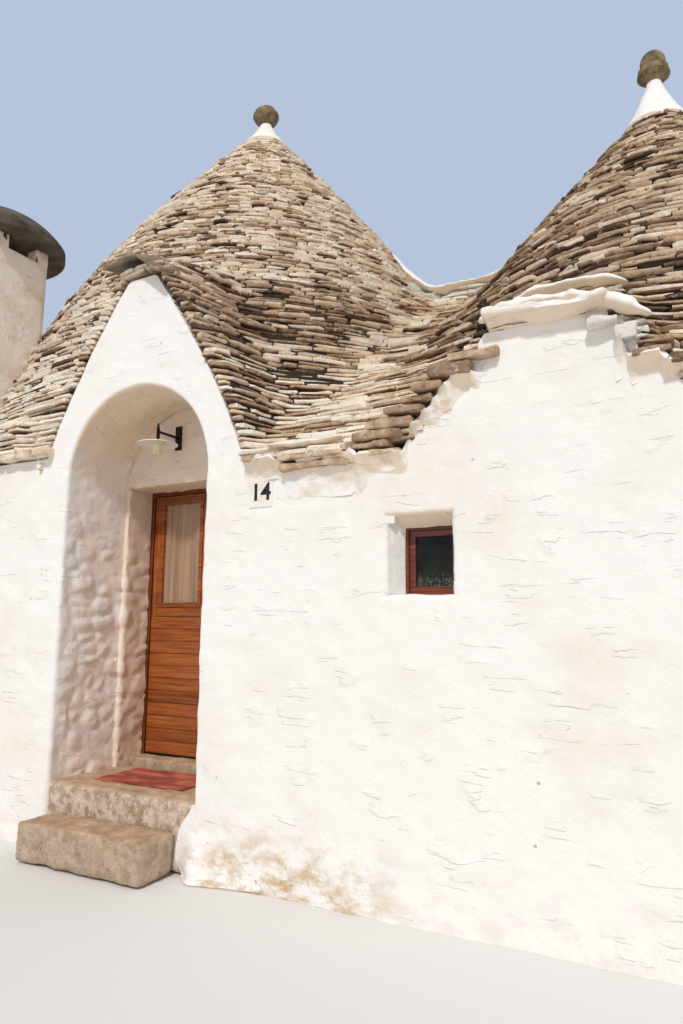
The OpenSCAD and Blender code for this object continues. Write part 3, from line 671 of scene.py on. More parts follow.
wallLime = makeLimewash()
roofStone = makeRoofStone()
roofGap = makeRoofGap()
stepStone = makeSpeckledStone("stepStone")
riserStone = makeSpeckledStone("riserStone")
chimneyRender = makeSpeckledStone("chimneyRender")
capStone = makeSpeckledStone("capStone")
slabStone = makeSpeckledStone("slabStone")
ballStone = makeSpeckledStone("ballStone")
doorWood = makeVarnishedWood("doorWood", doorBoards)
frameWood = makeVarnishedWood("frameWood")
windowWood = makeVarnishedWood("windowWood")
doorGlass = makeDoorGlass()
windowGlass = makeWindowGlass()
blackIron = makeMetal("blackIron", paint(34, 31, 28), paint(86, 58, 40), 0.5, 0.6)
whiteEnamel = makeMetal("whiteEnamel", paint(236, 234, 226), paint(196, 190, 176), 0.25, 0.0)
lampGlass = makePlain("lampGlass", paint(238, 226, 190), paint(220, 204, 164), 0.2, 14)
tileGlaze = makePlain("tileGlaze", paint(240, 236, 226), paint(228, 220, 204), 0.15, 18)
tileInk = makePlain("tileInk", paint(26, 24, 22), paint(44, 40, 36), 0.25, 60)
matCloth = makeMatCloth()
print("materials made", len(bpy.data.materials))


def limeSkin(name, base, lift, depth, outward, wrap=False):
    # closed skin of limewashed plaster
    shellPiece(name, base, lift, depth, wallLime, wrap=wrap, outward=np.array(outward))


# Height of the roof over the ground

roof = {
    "left": {"x": -2.05, "tip": 7.22, "slope": 50.6, "foot": 2.90},
    "right": {"x": 2.05, "tip": 6.05, "slope": 49.4, "foot": 2.64},
    "straight": 1.10,
    "saddle": 4.68,
    "eaveThick": 0.08,
    "rakeDrop": 0.085,
    "gable": {"x": -1.25, "foot": 0.99, "top": 0.13, "fullness": 1.4, "height": 3.99,
              "rise": 19, "cover": 0.11},
    "brow": {"x": 1.61, "foot": 0.95, "top": 0.28, "fullness": 0.75, "height": 3.08,
             "rise": 24, "cover": 0.11},
    "valleys": {"cones": 0.5, "hips": 0.4, "gable": 0.15, "brow": 0.2},
    "gableBack": -1.3,
    "splitX": 0.33,
    "raisedX": (-2.3, -2.1),
    "raisedY": (-1.55, -1.25),
}


def blendUp(first, second, width):
    # the greater of two heights, with the valley between them filled to a smooth curve
    share = np.clip(0.5 + 0.5 * (first - second) / width, 0, 1)
    return second + (first - second) * share + width * share * (1 - share)


def coneHeight(x, y, cone):
    # straight side down to the knee, then an arc that steepens to the foot at the wall tops
    slope = np.radians(cone["slope"])
    knee = cone["tip"] - roof["straight"] * np.tan(slope)
    span, drop = cone["foot"] - roof["straight"], knee - wallTop
    turn = np.arctan(drop / span) - slope
    bend = np.hypot(span, drop) / (2 * np.sin(turn))
    radius = np.hypot(x - cone["x"], y)
    angle = np.arcsin(np.clip((radius - roof["straight"]) / bend + np.sin(slope), -1, 1))
    arc = knee - bend * (np.cos(slope) - np.cos(angle))
    return np.where(radius < roof["straight"], cone["tip"] - radius * np.tan(slope), arc)


def gableOutline(aside, gable):
    # height over a distance to the side of the ridge: the half width shrinks from foot to top by a
    # power of the height
    base = wallTop - roof["rakeDrop"]
    share = np.clip((gable["foot"] - aside) / (gable["foot"] - gable["top"]), 0, 1)
    return base + (gable["height"] - base) * share ** (1 / gable["fullness"])


def gableHeight(x, y, gable):
    # the outline carried back along the rising ridge, with a steep drop beyond its ends
    aside = np.maximum(np.abs(x - gable["x"]) - 0.6 * gable["cover"], 0)
    beyond = np.maximum(aside - gable["foot"], 0) + np.maximum(y - roof["gableBack"], 0)
    rise = np.tan(np.radians(gable["rise"])) * (y - frontY)
    return gableOutline(aside, gable) + 0.9 * gable["cover"] + rise - 3 * beyond


def eaveTop(x, y):
    # top of the eave slabs, higher over the raised wall at the front left
    raised = (1 - easeBetween(*roof["raisedX"], x)) * (1 - easeBetween(*roof["raisedY"], y))
    return wallTop + roof["eaveThick"] + (leftWallTop - wallTop) * raised


def hipHeight(x, y):
    # straight from the eaves to the saddle on all four sides, the lowest of them
    top = eaveTop(x, y)
    side = top + (roof["saddle"] - top) * (1 - np.abs(y) / -eaveY)
    end = top + (roof["saddle"] - top) * (halfLength - np.abs(x)) / -eaveY
    return np.minimum(side, end)


def roofHeight(x, y):
    # both cones, then the straight slopes, the gable and the eyebrow, with filled valleys between
    valleys = roof["valleys"]
    left, right = coneHeight(x, y, roof["left"]), coneHeight(x, y, roof["right"])
    height = blendUp(blendUp(left, right, valleys["cones"]), hipHeight(x, y), valleys["hips"])
    for name in ("gable", "brow"):
        height = blendUp(height, gableHeight(x, y, roof[name]), valleys[name])
    return height


def inGable(x, gable, extra=0.0):
    # whether a place along the house lies within the gable's foot and its cover
    return np.abs(x - gable["x"]) < gable["foot"] + gable["cover"] + extra


# Courses of slabs

slabs = {
    "thickness": ([2.4, 3.0, 3.8, 4.6, 7.2], [0.054, 0.041, 0.033, 0.028, 0.025]),
    "length": ([2.4, 3.2, 4.5, 7.2], [0.34, 0.25, 0.17, 0.13]),
    "rise": (0.54, 0.86),
    "fineLevel": 3.35,
    "spread": 0.6,
    "proud": 0.013,
    "turned": 0.007,
    "rough": 0.0045,
    "wander": 0.026,
    "bed": 0.055,
    "tipR": 0.262,
    "directions": 1100,
    "samples": 260,
    "inset": 0.022,
    "gableOut": 0.04,
    "overWall": 0.012,
    "stepY": -1.4,
    "stepHalf": 0.25,
    "joint": (0.0015, 0.008),
    "endBack": (0.003, 0.02),
    "lean": 0.14,
    "uneven": 0.06,
    "tone": (0.86, 0.29),
    "toneRange": (0.12, 1.2),
    "seed": 7,
}
# A slab's stations along its length, how far its ends fall back there, and its outline across:
# inner foot, foot, ..., top, inner top, each with its way out and its share of the height
# The shade is a tone at each outline point: painted shadow under the slab together with dirt at its
# lower edge, darker at the foot and lighter at the top
nearSlab = {
    "stations": np.array([0.0, 0.09, 0.5, 0.91, 1.0]),
    "ends": np.array([1.0, 0.15, 0.0, 0.15, 1.0]),
    "outs": np.array([0.0, -0.018, 0.0, -0.001, -0.012, 0.0]),
    "ups": np.array([0.03, 0.0, 0.28, 0.74, 1.0, 0.98]),
    "shade": [-0.5, -0.45, -0.02, 0.09, 0.12, 0.0],
}
farSlab = {
    "stations": np.array([0.0, 0.15, 0.85, 1.0]),
    "ends": np.array([1.0, 0.0, 0.0, 1.0]),
    "outs": np.array([0.0, -0.010, -0.002, 0.0]),
    "ups": np.array([0.03, 0.0, 1.0, 0.98]),
    "shade": [-0.4, -0.32, 0.12, 0.0],
}


def courseWander(x, y):
    # broad and fine noise that lifts and drops a course along its way
    flat = np.stack([x, y, np.zeros_like(x)], -1)
    wander = slabs["wander"]
    return wander * softNoise(flat, 0.9, 3) + 0.35 * wander * softNoise(flat, 0.3, 4)


def courseLevels():
    # each course lies on the one below, up to the left cone's tip
    levels = [wallTop + 0.05]
    while levels[-1] < roof["left"]["tip"]:
        levels.append(levels[-1] + np.interp(levels[-1], *slabs["thickness"]))
    return np.array(levels)


def edgeDistance(x0, cos, sin, side):
    # how far a ray from the cone's axis runs inside the eaves, the party ends and the valley
    limitX = halfLength - slabs["inset"]
    split = roof["splitX"] + 0.35 * -side
    far = np.full(cos.shape, 9.0)
    kind = np.zeros(cos.shape, int)
    frontLimit = eaveY + 0.008
    planes = [(0, limitX, 1), (0, -limitX, 1), (1, -frontLimit, 2), (1, frontLimit, 2),
              (0, split, 3)]
    for axis, place, code in planes:
        run = cos if axis == 0 else sin
        start = x0 if axis == 0 else 0.0
        with np.errstate(divide="ignore", invalid="ignore"):
            reach = (place - start) / run
        reach = np.where((reach > 0) & np.isfinite(reach), reach, 99)
        kind = np.where(reach < far, code, kind)
        far = np.minimum(far, reach)
    hitX = x0 + cos * far
    hitY = sin * far
    gabled = (hitY < frontY) & (inGable(hitX, roof["gable"]) | inGable(hitX, roof["brow"]))
    nearFront = (frontY - slabs["gableOut"]) / np.where(gabled, sin, -1)
    return np.where(gabled, nearFront, far), np.where(gabled, 4, kind)


def outlineAt(x):
    # height of the gable's and the eyebrow's outlines, and of the wall tops between them
    height = np.full(x.shape, wallTop)
    for gable in (roof["gable"], roof["brow"]):
        aside = np.abs(x - gable["x"])
        higher = np.maximum(height, gableOutline(aside, gable))
        height = np.where(aside < gable["foot"], higher, height)
    return height


def coneRuns(cone, side, levels):
    # along each ray the outermost place where the roof crosses a course's height; a run is an
    # unbroken line of such places
    turn = np.linspace(0, 2 * np.pi, slabs["directions"], endpoint=False)
    turn = turn + (0 if side < 0 else np.pi)
    cos, sin = np.cos(turn), np.sin(turn)
    reach, kind = edgeDistance(cone["x"], cos, sin, side)
    share = np.linspace(0.0, 1.0, slabs["samples"])
    radius = reach[:, None] * share
    x, y = cone["x"] + radius * cos[:, None], radius * sin[:, None]
    height = roofHeight(x, y) - courseWander(x, y)
    # a ray towards the other cone stops in the valley between them
    lowest = np.where(kind == 3, np.argmin(height, 1), slabs["samples"] - 1)
    reached = np.arange(slabs["samples"])[None, :] <= lowest[:, None]
    runs = []
    rows = np.arange(len(turn))
    for number, level in enumerate(levels):
        thick = np.interp(level, *slabs["thickness"])
        middle = level + 0.5 * thick
        over = (height >= middle) & reached
        found = over.any(1)
        last = slabs["samples"] - 1 - np.argmax(over[:, ::-1], 1)
        # where a gable stands before the cone, the ray also leaves the cone itself behind it
        first = np.where(over.all(1), last, np.argmin(over, 1) - 1)
        for stop, known in ((last, found), (first, found & (first < last) & (first > 0))):
            atEdge = stop == lowest
            nextOne = np.minimum(stop + 1, lowest)
            here, there = height[rows, stop], height[rows, nextOne]
            part = np.where(atEdge, 0, (here - middle) / np.maximum(here - there, 1e-6))
            far = radius[rows, stop] + part * (radius[rows, nextOne] - radius[rows, stop])
            px, py = cone["x"] + far * cos, far * sin
            keep = known & (far > slabs["tipR"]) & ~(atEdge & (kind == 3))
            wall = outlineAt(px) + slabs["overWall"] + 0.03 * inGable(px, roof["brow"])
            keep &= ~(atEdge & (kind == 4) & (middle < wall))
            # courses stop over the eaves, apart from where the raised corner steps down
            stepped = np.abs(py - slabs["stepY"]) < slabs["stepHalf"]
            keep &= (middle > eaveTop(px, py) + 0.01) | stepped
            runs += splitRuns(number, level, thick, px, py, keep, atEdge, kind)
    return runs


def splitRuns(number, level, thick, px, py, keep, edge, code):
    # the kept places as unbroken lines, which may go round past the first ray
    if not keep.any():
        return []
    roll = number * 131 % len(keep) if keep.all() else np.argmin(keep) + 1
    order = np.roll(np.arange(len(keep)), -roll)
    if keep.all():
        order = np.append(order, order[0])
    px, py, keep, edge, code = px[order], py[order], keep[order], edge[order], code[order]
    step = np.hypot(np.diff(px), np.diff(py))
    farthest = np.where(np.abs(py[1:]) < 0.8, 0.6, 0.16)
    broken = np.concatenate([[True], ~keep[:-1] | (step > farthest)]) | ~keep
    group = np.cumsum(broken)
    lines = []
    for value in np.unique(group[keep]):
        chosen = np.flatnonzero((group == value) & keep)
        if len(chosen) > 3:
            lines.append((level, thick, px[chosen], py[chosen], edge[chosen], code[chosen]))
    return lines


def flankRuns(levels):
    # the gable's left side faces the left cone's rays, so it is crossed from its own ridge instead
    gable = roof["gable"]
    y = np.arange(frontY - slabs["gableOut"], -0.9, 0.02)
    aside = np.linspace(0, 1.2, 200)
    x = gable["x"] - aside[None, :] + 0 * y[:, None]
    height = roofHeight(x, y[:, None]) - courseWander(x, y[:, None] + 0 * x)
    lowest = np.argmin(height, 1)
    reached = np.arange(len(aside))[None, :] <= lowest[:, None]
    rows = np.arange(len(y))
    uncut = np.zeros(len(y), bool), np.zeros(len(y), int)
    runs = []
    for number, level in enumerate(levels):
        thick = np.interp(level, *slabs["thickness"])
        middle = level + 0.5 * thick
        over = (height >= middle) & reached
        last = len(aside) - 1 - np.argmax(over[:, ::-1], 1)
        nextOne = np.minimum(last + 1, lowest)
        here, there = height[rows, last], height[rows, nextOne]
        part = (here - middle) / np.maximum(here - there, 1e-6)
        px = gable["x"] - (aside[last] + part.clip(0, 1) * (aside[nextOne] - aside[last]))
        outX, outY = outwardAt(px, y, *uncut)[:2]
        facing = outX * (px - roof["left"]["x"]) + outY * y
        keep = over.any(1) & (last < lowest) & (facing < 0.3)
        keep &= middle > outlineAt(px) + slabs["overWall"]
        keep[0] = False
        runs += splitRuns(number, level, thick, px[::-1], y[::-1], keep[::-1], *uncut)
    return runs


def outwardAt(x, y, edge, code):
    # level direction straight down the slope, or out of the plane that the run was cut to
    step = 0.012
    slopeX = (roofHeight(x + step, y) - roofHeight(x - step, y)) / (2 * step)
    slopeY = (roofHeight(x, y + step) - roofHeight(x, y - step)) / (2 * step)
    steep = np.maximum(np.hypot(slopeX, slopeY), 0.25)
    outX, outY = -slopeX / steep, -slopeY / steep
    party = edge & (code == 1)
    eave = edge & (code != 1)
    outX = np.where(party, np.sign(x), np.where(eave, 0, outX))
    outY = np.where(party, 0, np.where(eave, np.sign(y), outY))
    return outX, outY, np.where(edge, 3.0, steep)


def cutRuns(runs, kind, random):
    # each run is cut into slabs of random length; a slab is kept as its stations along the run
    places, bases = [], []
    for level, thick, px, py, edge, code in runs:
        along = np.concatenate([[0], np.cumsum(np.hypot(np.diff(px), np.diff(py)))])
        mean = np.interp(level, *slabs["length"])
        count = int(along[-1] / mean * 2) + 3
        cuts = np.cumsum(mean * random.uniform(1 - slabs["spread"], 1 + slabs["spread"], count))
        cuts = cuts[cuts < along[-1] - 0.35 * mean]
        starts = np.concatenate([[0], cuts])
        ends = np.concatenate([cuts, [along[-1]]])
        gap = random.uniform(*slabs["joint"], len(starts))
        spots = (starts + gap)[:, None] + (ends - starts - 2 * gap)[:, None] * kind["stations"]
        outX, outY, steep = outwardAt(px, py, edge, code)
        columns = [np.interp(spots, along, line) for line in (px, py, outX, outY, steep)]
        places.append(np.stack(columns, -1))
        bases.append(np.tile([level, thick], (len(starts), 1)))
    return np.concatenate(places), np.concatenate(bases)


def slabShapes(places, bases, kind, random):
    # the outline is set out of the roof's face at each station, with its own lean, turn and
    # roughness
    count, along, across = len(places), len(kind["stations"]), len(kind["outs"])
    x, y, outX, outY, steep = np.moveaxis(places, -1, 0)
    size = np.hypot(outX, outY)
    outX, outY = outX / size, outY / size
    level, thick = bases[:, :1], bases[:, 1:]
    foot = level + courseWander(x, y)
    middle = kind["stations"] - 0.5
    lean = random.normal(0, slabs["lean"], (count, 1)) * thick * middle
    proud = random.normal(0, slabs["proud"], (count, 1)).clip(-0.03, 0.028)
    proud = np.where(steep > 2.9, proud.clip(-0.02, 0.008), proud)
    proud = proud + random.normal(0, slabs["turned"], (count, 1)) * 2 * middle
    ends = kind["ends"] * random.uniform(*slabs["endBack"], (count, 1))
    depth = np.minimum(thick / steep + slabs["bed"] + 0.03, 0.30)
    rise = thick * random.uniform(*slabs["rise"], (count, 1))
    outs = kind["outs"] * random.uniform(0.5, 1.7, (count, 1, 1))
    inner = np.zeros(across, int)
    inner[[0, -1]] = 1
    rough = random.normal(0, slabs["rough"], (count, along, across)) * (1 - inner)
    off = np.where(inner, -depth[..., None], (proud - ends)[..., None] + outs + rough)
    uneven = random.normal(0, slabs["uneven"], (count, along, across))
    up = rise[..., None] * kind["ups"] + lean[..., None] + uneven * thick[..., None]
    points = np.stack([
        x[..., None] + outX[..., None] * off,
        y[..., None] + outY[..., None] * off,
        foot[..., None] + up], -1)
    cell = np.arange(across)
    ring = np.stack([cell, (cell + 1) % across, (cell + 1) % across + across, cell + across], -1)
    sides = (ring[None] + across * np.arange(along - 1)[:, None, None]).reshape(-1, 4)
    first = np.array([[0, 5, 4, 1], [1, 4, 3, 2]]) if across == 6 else np.array([[0, 3, 2, 1]])
    last = first[:, ::-1] + across * (along - 1)
    one = np.concatenate([sides, first, last])
    faces = (one[None] + across * along * np.arange(count)[:, None, None]).reshape(-1, 4)
    return points.reshape(-1, 3), faces


# middle, half sizes and strength of each patch of old limewash on slabs
washed = [
    ((1.60, -2.30, 3.42), (0.50, 0.34, 0.16), 0.55),
    ((0.30, 0.0, 4.70), (0.95, 0.45, 0.14), 0.75),
    ((0.15, -2.7, 2.62), (0.32, 0.2, 0.06), 0.8),
    ((1.95, -2.7, 2.96), (0.17, 0.2, 0.09), 1.0),
]
# tone added on the left cone's sunny foot, and taken from the right cone and the gable's flank
roofTones = {"sunny": 0.34, "right": 0.30, "flank": 0.22}


def washOf(points):
    # the strongest patch at each point, eased out towards its own edge
    total = np.zeros(len(points))
    for middle, half, strength in washed:
        far = np.linalg.norm((points - np.array(middle)) / np.array(half), axis=-1)
        total = np.maximum(total, strength * (1 - easeBetween(0.7, 1.25, far)))
    return total


def layCourses():
    # each cone's slabs in three pieces, with a tone for each slab, darker towards each slab's foot
    # where painted shadow and dirt lie, and with clouds
    random = np.random.default_rng(slabs["seed"])
    levels = courseLevels()
    made = 0
    for name, side in (("left", -1), ("right", 1)):
        runs = coneRuns(roof[name], side, levels) + (flankRuns(levels) if side < 0 else [])
        runs.sort(key=lambda run: run[0])
        near = [run for run in runs if run[0] < slabs["fineLevel"]]
        far = [run for run in runs if run[0] >= slabs["fineLevel"]]
        half = len(far) // 2
        for part, chosen, kind in (("lower", near, nearSlab), ("middle", far[:half], farSlab),
                                   ("upper", far[half:], farSlab)):
            places, bases = cutRuns(chosen, kind, random)
            points, faces = slabShapes(places, bases, kind, random)
            each = len(kind["shade"]) * len(kind["stations"])
            tone = random.normal(*slabs["tone"], len(places)).clip(*slabs["toneRange"])
            tone = np.repeat(tone, each)
            # painted shadow with dirt: darker at each slab's foot, lighter at its top
            shade = np.tile(kind["shade"], len(points) // len(kind["shade"]))
            tone += shade + 0.14 * softNoise(points, 0.8, 21)
            x, y, z = points.T
            flank = within(-1.15, -0.15, x, 0.15) * within(2.9, 4.1, z, 0.2) * (y < -1.3)
            sunny = (x < -1.9) * (1 - easeBetween(3.0, 3.8, z))
            tone += (roofTones["sunny"] * sunny - roofTones["right"] * (side > 0)
                     - roofTones["flank"] * flank)
            makePiece(f"{name}_{part}_slabs", points, [faces], roofStone, crease=24,
                      values={"tone": tone, "wash": washOf(points)})
            made += len(places)
    print("roof slabs laid", made)


bedding = {
    "cell": 0.07,
    "endGap": 0.06,
    "gableOver": 0.18,
    "browOver": -0.02,
    "behind": 0.03,
    "inset": 0.05,
    "thick": 0.12,
    "raisedTo": -2.24,
    "lift": 0.012,
}


def makeBedding():
    # dark shell of the roof under the slabs: the roof's height less the bedding
    end = halfLength - bedding["endGap"]
    xs = np.linspace(-end, end, int(2 * halfLength / bedding["cell"]))
    share = np.linspace(0, 1, int(-2 * eaveY / bedding["cell"]))
    x = np.repeat(xs[:, None], len(share), 1)
    gabled = inGable(x, roof["gable"], bedding["gableOver"])
    gabled |= inGable(x, roof["brow"], bedding["browOver"])
    front = np.where(gabled, frontY + bedding["behind"], eaveY + bedding["inset"])
    y = front + (-eaveY - bedding["inset"] - front) * share
    z = roofHeight(x, y) - slabs["bed"]
    floor = np.where((x < bedding["raisedTo"]) & (y < 0), leftWallTop, wallTop) + bedding["lift"]
    z = np.maximum(z, floor + 0.01)
    base = np.stack([x, y, z], -1)
    under = np.stack([x, y, np.maximum(floor, z - bedding["thick"])], -1)
    points, faces = between(base, under)
    piece = makePiece("roof_bedding", points, faces, roofGap, crease=50)
    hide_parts("left_cone", "right_cone", "saddle_roof", "left_eaves", "right_eaves",
                "gable_roof", "eyebrow_roof")


roofEnds = {
    "inset": 0.012,
    "margin": 0.02,
    "below": 0.04,
    "rows": 180,
    "columns": 24,
    "depth": 0.05,
}


def makeEnds():
    # plastered ends of the roof over both party walls
    rows, columns, inset = roofEnds["rows"], roofEnds["columns"], roofEnds["inset"]
    for name, x in (("left", -halfLength + inset), ("right", halfLength - inset)):
        y = np.linspace(frontY + roofEnds["margin"], -frontY - roofEnds["margin"], rows)[:, None]
        share = np.linspace(0, 1, columns)[None, :]
        top = np.maximum(roofHeight(np.full(y.shape, x), y) - inset, wallTop)
        low = wallTop - roofEnds["below"]
        base = np.stack([np.full((rows, columns), x), y + 0 * share, low + (top - low) * share], -1)
        lift = 0.004 + 0.003 * softNoise(base, 0.2, 15)
        limeSkin(f"{name}_end_skin", base, lift, roofEnds["depth"], (x, 0, 0))


layCourses()
makeBedding()
makeEnds()


# Eaves, blocks beside the gable and the eyebrow, and the big slabs

eaves = {
    "length": (0.26, 0.58),
    "thick": (0.045, 0.075),
    "out": 0.03,
    "back": 0.34,
    "joint": 0.004,
    "edge": 0.012,
    "cell": 0.035,
    "lumps": 0.010,
    "seed": 31,
}


def layStones(name, shapes, tones, cloud, crease):
    # stones as one piece, with a tone for each and clouds of strength, size and seed over them all
    points, faces, owner = joinShapes(shapes)
    strength, size, seed = cloud
    tone = tones[owner] + strength * softNoise(points, size, seed)
    makePiece(name, points, faces, roofStone, crease=crease,
              values={"tone": tone, "wash": washOf(points)})


def eaveRow(lowX, highX, under, side, random):
    # slabs side by side along the wall top, each with its own reach, thickness and height
    shapes = []
    x = lowX
    while x < highX - 0.05:
        end = min(x + random.uniform(*eaves["length"]), highX)
        if highX - end < 0.15:
            end = highX
        reach = -eaveY - random.uniform(0.006, eaves["out"])
        ys = (-reach, -reach + eaves["back"]) if side < 0 else (reach - eaves["back"], reach)
        low = under + random.uniform(0, 0.014)
        top = low + random.uniform(*eaves["thick"])
        shapes.append(roundedBlock(
            (x + eaves["joint"], ys[0], low), (end - eaves["joint"], ys[1], top),
            eaves["edge"], eaves["cell"], eaves["lumps"], int(1000 * (x + 9))))
        x = end
    return shapes


def layEaves():
    random = np.random.default_rng(eaves["seed"])
    shapes = eaveRow(-halfLength, -2.05, leftWallTop + 0.004, -1, random)
    shapes += eaveRow(0.0, 0.57, wallTop - 0.004, -1, random)
    shapes += eaveRow(2.56, halfLength, wallTop + 0.004, -1, random)
    shapes += eaveRow(-halfLength, halfLength, wallTop + 0.004, 1, random)
    layStones("eave_slabs", shapes, random.normal(0.62, 0.12, len(shapes)), (0.1, 0.3, 5), 35)
    print("eaves laid", len(shapes))


# left X, right X, underside and top of the slab ends beside the gable and the eyebrow
frontBlocks = [
    (-0.27, 0.03, 2.505, 2.555), (0.00, 0.46, 2.478, 2.520), (0.54, 0.81, 2.452, 2.498),
    (0.42, 0.74, 2.502, 2.545), (0.50, 0.80, 2.550, 2.600), (0.58, 0.88, 2.605, 2.668),
    (0.70, 0.95, 2.675, 2.725), (0.80, 1.00, 2.730, 2.778), (0.88, 1.07, 2.785, 2.838),
    (0.98, 1.22, 2.845, 2.922), (1.08, 1.37, 2.928, 2.985), (1.82, 1.98, 2.985, 3.030),
    (1.95, 2.06, 2.890, 2.972), (2.04, 2.21, 2.845, 2.882), (2.02, 2.21, 2.790, 2.838),
    (2.19, 2.42, 2.735, 2.785), (2.30, 2.56, 2.665, 2.728), (2.42, 2.80, 2.600, 2.655),
]
frontBlock = {
    "out": (0.085, 0.118),
    "back": 0.35,
    "edge": 0.014,
    "cell": 0.025,
    "lumps": 0.011,
    "seed": 12,
}
# steps: from X, to X and depth of the plaster there
plasterLip = {
    "step": 0.012,
    "reach": (0.045, 0.10),
    "deep": (0.06, 0.20),
    "over": 0.016,
    "lumps": 0.009,
    "steps": ((-0.28, 0.02, 0.12), (0.02, 0.56, 0.23), (0.56, 0.82, 0.13)),
    "spans": {"middle": (-0.30, 1.26), "right": (1.94, 2.80)},
}


def layFrontBlocks():
    random = np.random.default_rng(frontBlock["seed"])
    shapes = []
    for lowX, highX, under, top in frontBlocks:
        out = random.uniform(*frontBlock["out"])
        shapes.append(roundedBlock(
            (lowX, frontY - out, under), (highX, frontY + frontBlock["back"], top),
            frontBlock["edge"], frontBlock["cell"], frontBlock["lumps"], int(500 * (lowX + 3))))
    layStones("front_blocks", shapes, random.normal(0.52, 0.16, len(shapes)), (0.14, 0.2, 6), 30)


def makePlasterLips():
    # plaster that swells out under the slab ends: its top follows their undersides, its reach falls
    # off by a power of the way down to the wall, and both differ along the wall
    for seed, (name, (lowX, highX)) in enumerate(plasterLip["spans"].items()):
        x = np.arange(lowX, highX, plasterLip["step"])
        top = np.full(len(x), 9.0)
        for block in frontBlocks:
            blockLow, blockHigh, under = block[:3]
            beneath = (x > blockLow - 0.03) & (x < blockHigh + 0.03)
            top = np.where(beneath, np.minimum(top, under), top)
        top = np.interp(x, x[top < 9], top[top < 9])
        line = np.stack([x, 0 * x, 0 * x], -1)
        share = 0.5 + 0.6 * softNoise(line, 0.13, 33 + seed)
        share = (share + 0.3 * softNoise(line, 0.05, 36 + seed)).clip(0, 1)
        slim = easeBetween(lowX, lowX + 0.04, x) * (1 - easeBetween(highX - 0.06, highX, x))
        least, most = plasterLip["deep"]
        deep = least + (most - least) * share
        for stepLow, stepHigh, height in plasterLip["steps"]:
            deep = np.where((x >= stepLow) & (x < stepHigh), height + 0.1 * (deep - 0.1), deep)
        even = np.ones(3) / 3
        top, deep = (np.convolve(np.pad(row, 1, "edge"), even, "valid") for row in (top, deep))
        least, most = plasterLip["reach"]
        reach = (least + (most - least) * share[::-1]) * slim
        down = np.linspace(0, 1, 18)[None, :]
        reach *= 1 - 0.85 * easeBetween(0.8, 3.0, np.abs(np.gradient(top, x)))
        y = frontY - 0.008 - reach[:, None] * (1 - down) ** 1.6
        z = top[:, None] + plasterLip["over"] - deep[:, None] * down
        base = np.stack([x[:, None] + 0 * down, y, z], -1)
        lumps = plasterLip["lumps"] * softNoise(base, 0.08, 38)
        lift = 0.004 + lumps + 0.004 * softNoise(base, 0.03, 39)
        limeSkin(f"{name}_plaster_lip", base, lift, 0.02, (0, -1, 0))


# Lumpy bands of old limewash: half width and half height, then a path in X, Y and Z. A Z of 0
# stands for the roof's own height there.
limeBands = {
    "hood_lime_band": (0.075, 0.036, [
        (1.26, -2.66, 3.13), (1.36, -2.64, 3.185), (1.53, -2.60, 3.20), (1.67, -2.60, 3.195),
        (1.80, -2.62, 3.165), (1.95, -2.64, 3.115), (2.03, -2.65, 3.07), (2.12, -2.66, 3.01)]),
    "upper_lime_band": (0.05, 0.022, [
        (1.33, -2.25, 3.40), (1.47, -2.24, 3.445), (1.62, -2.24, 3.45), (1.75, -2.24, 3.445),
        (1.87, -2.25, 3.43), (1.98, -2.26, 3.385)]),
    "saddle_lime_band": (0.15, 0.035, [
        (-0.45, 0.0, 0), (0.0, 0.0, 0), (0.3, 0.0, 0), (0.6, 0.0, 0), (1.05, 0.0, 0)]),
    "valley_lime_patch": (0.06, 0.014, [
        (-0.10, -2.66, 2.605), (0.1, -2.67, 2.58), (0.3, -2.66, 2.585), (0.42, -2.66, 2.605)]),
}


def makeLimeBands():
    # each ring of the band is a flattened circle across the path, thinner to both ends
    segments = 22
    for seed, (name, (wide, thick, path)) in enumerate(limeBands.items()):
        path = np.array(path)
        line = resample(path, int(np.linalg.norm(path[-1] - path[0]) / 0.016))
        onRoof = roofHeight(line[:, 0], line[:, 1]) + 0.02
        line[:, 2] = np.where(line[:, 2] > 0, line[:, 2], onRoof)
        along = unit(np.gradient(line, axis=0))
        across = unit(np.cross(along, (0, 0, 1)))
        upward = np.cross(across, along)
        share = np.linspace(-1, 1, len(line))
        slim = (1.02 - np.abs(share) ** 4)[:, None, None] ** 0.5
        angle = np.linspace(0, 2 * np.pi, segments, endpoint=False)[None, :, None]
        oval = wide * np.cos(angle) * across[:, None] + thick * np.sin(angle) * upward[:, None]
        rings = line[:, None] + slim * oval
        away = unit(rings - line[:, None])
        lump = 0.7 * thick * softNoise(rings, 0.13, 70 + seed)
        lump += 0.55 * thick * softNoise(rings, 0.045, 90 + seed)
        rings = rings + away * (slim[..., 0] * lump)[..., None]
        points = np.concatenate([rings.reshape(-1, 3), line[[0, -1]]])
        tube = gridFaces(segments, len(line), 0, True)
        order = np.arange(segments * len(line)).reshape(len(line), segments).T.ravel()
        ends = []
        for ring, tip in ((0, len(points) - 2), (len(line) - 1, len(points) - 1)):
            here = ring * segments + np.arange(segments)
            after = np.roll(here, -1)
            around = [here, after] if ring == 0 else [after, here]
            ends.append(np.stack([np.full(segments, tip), *around], -1))
        makePiece(name, points, [order[tube], *ends], wallLime, crease=60)


hood = {
    "edge": 0.024,
    "cell": 0.02,
    "lumps": 0.016,
    "core": 0.04,
    "sink": 0.04,
    "undercut": 0.09,
    "seed": 77,
}


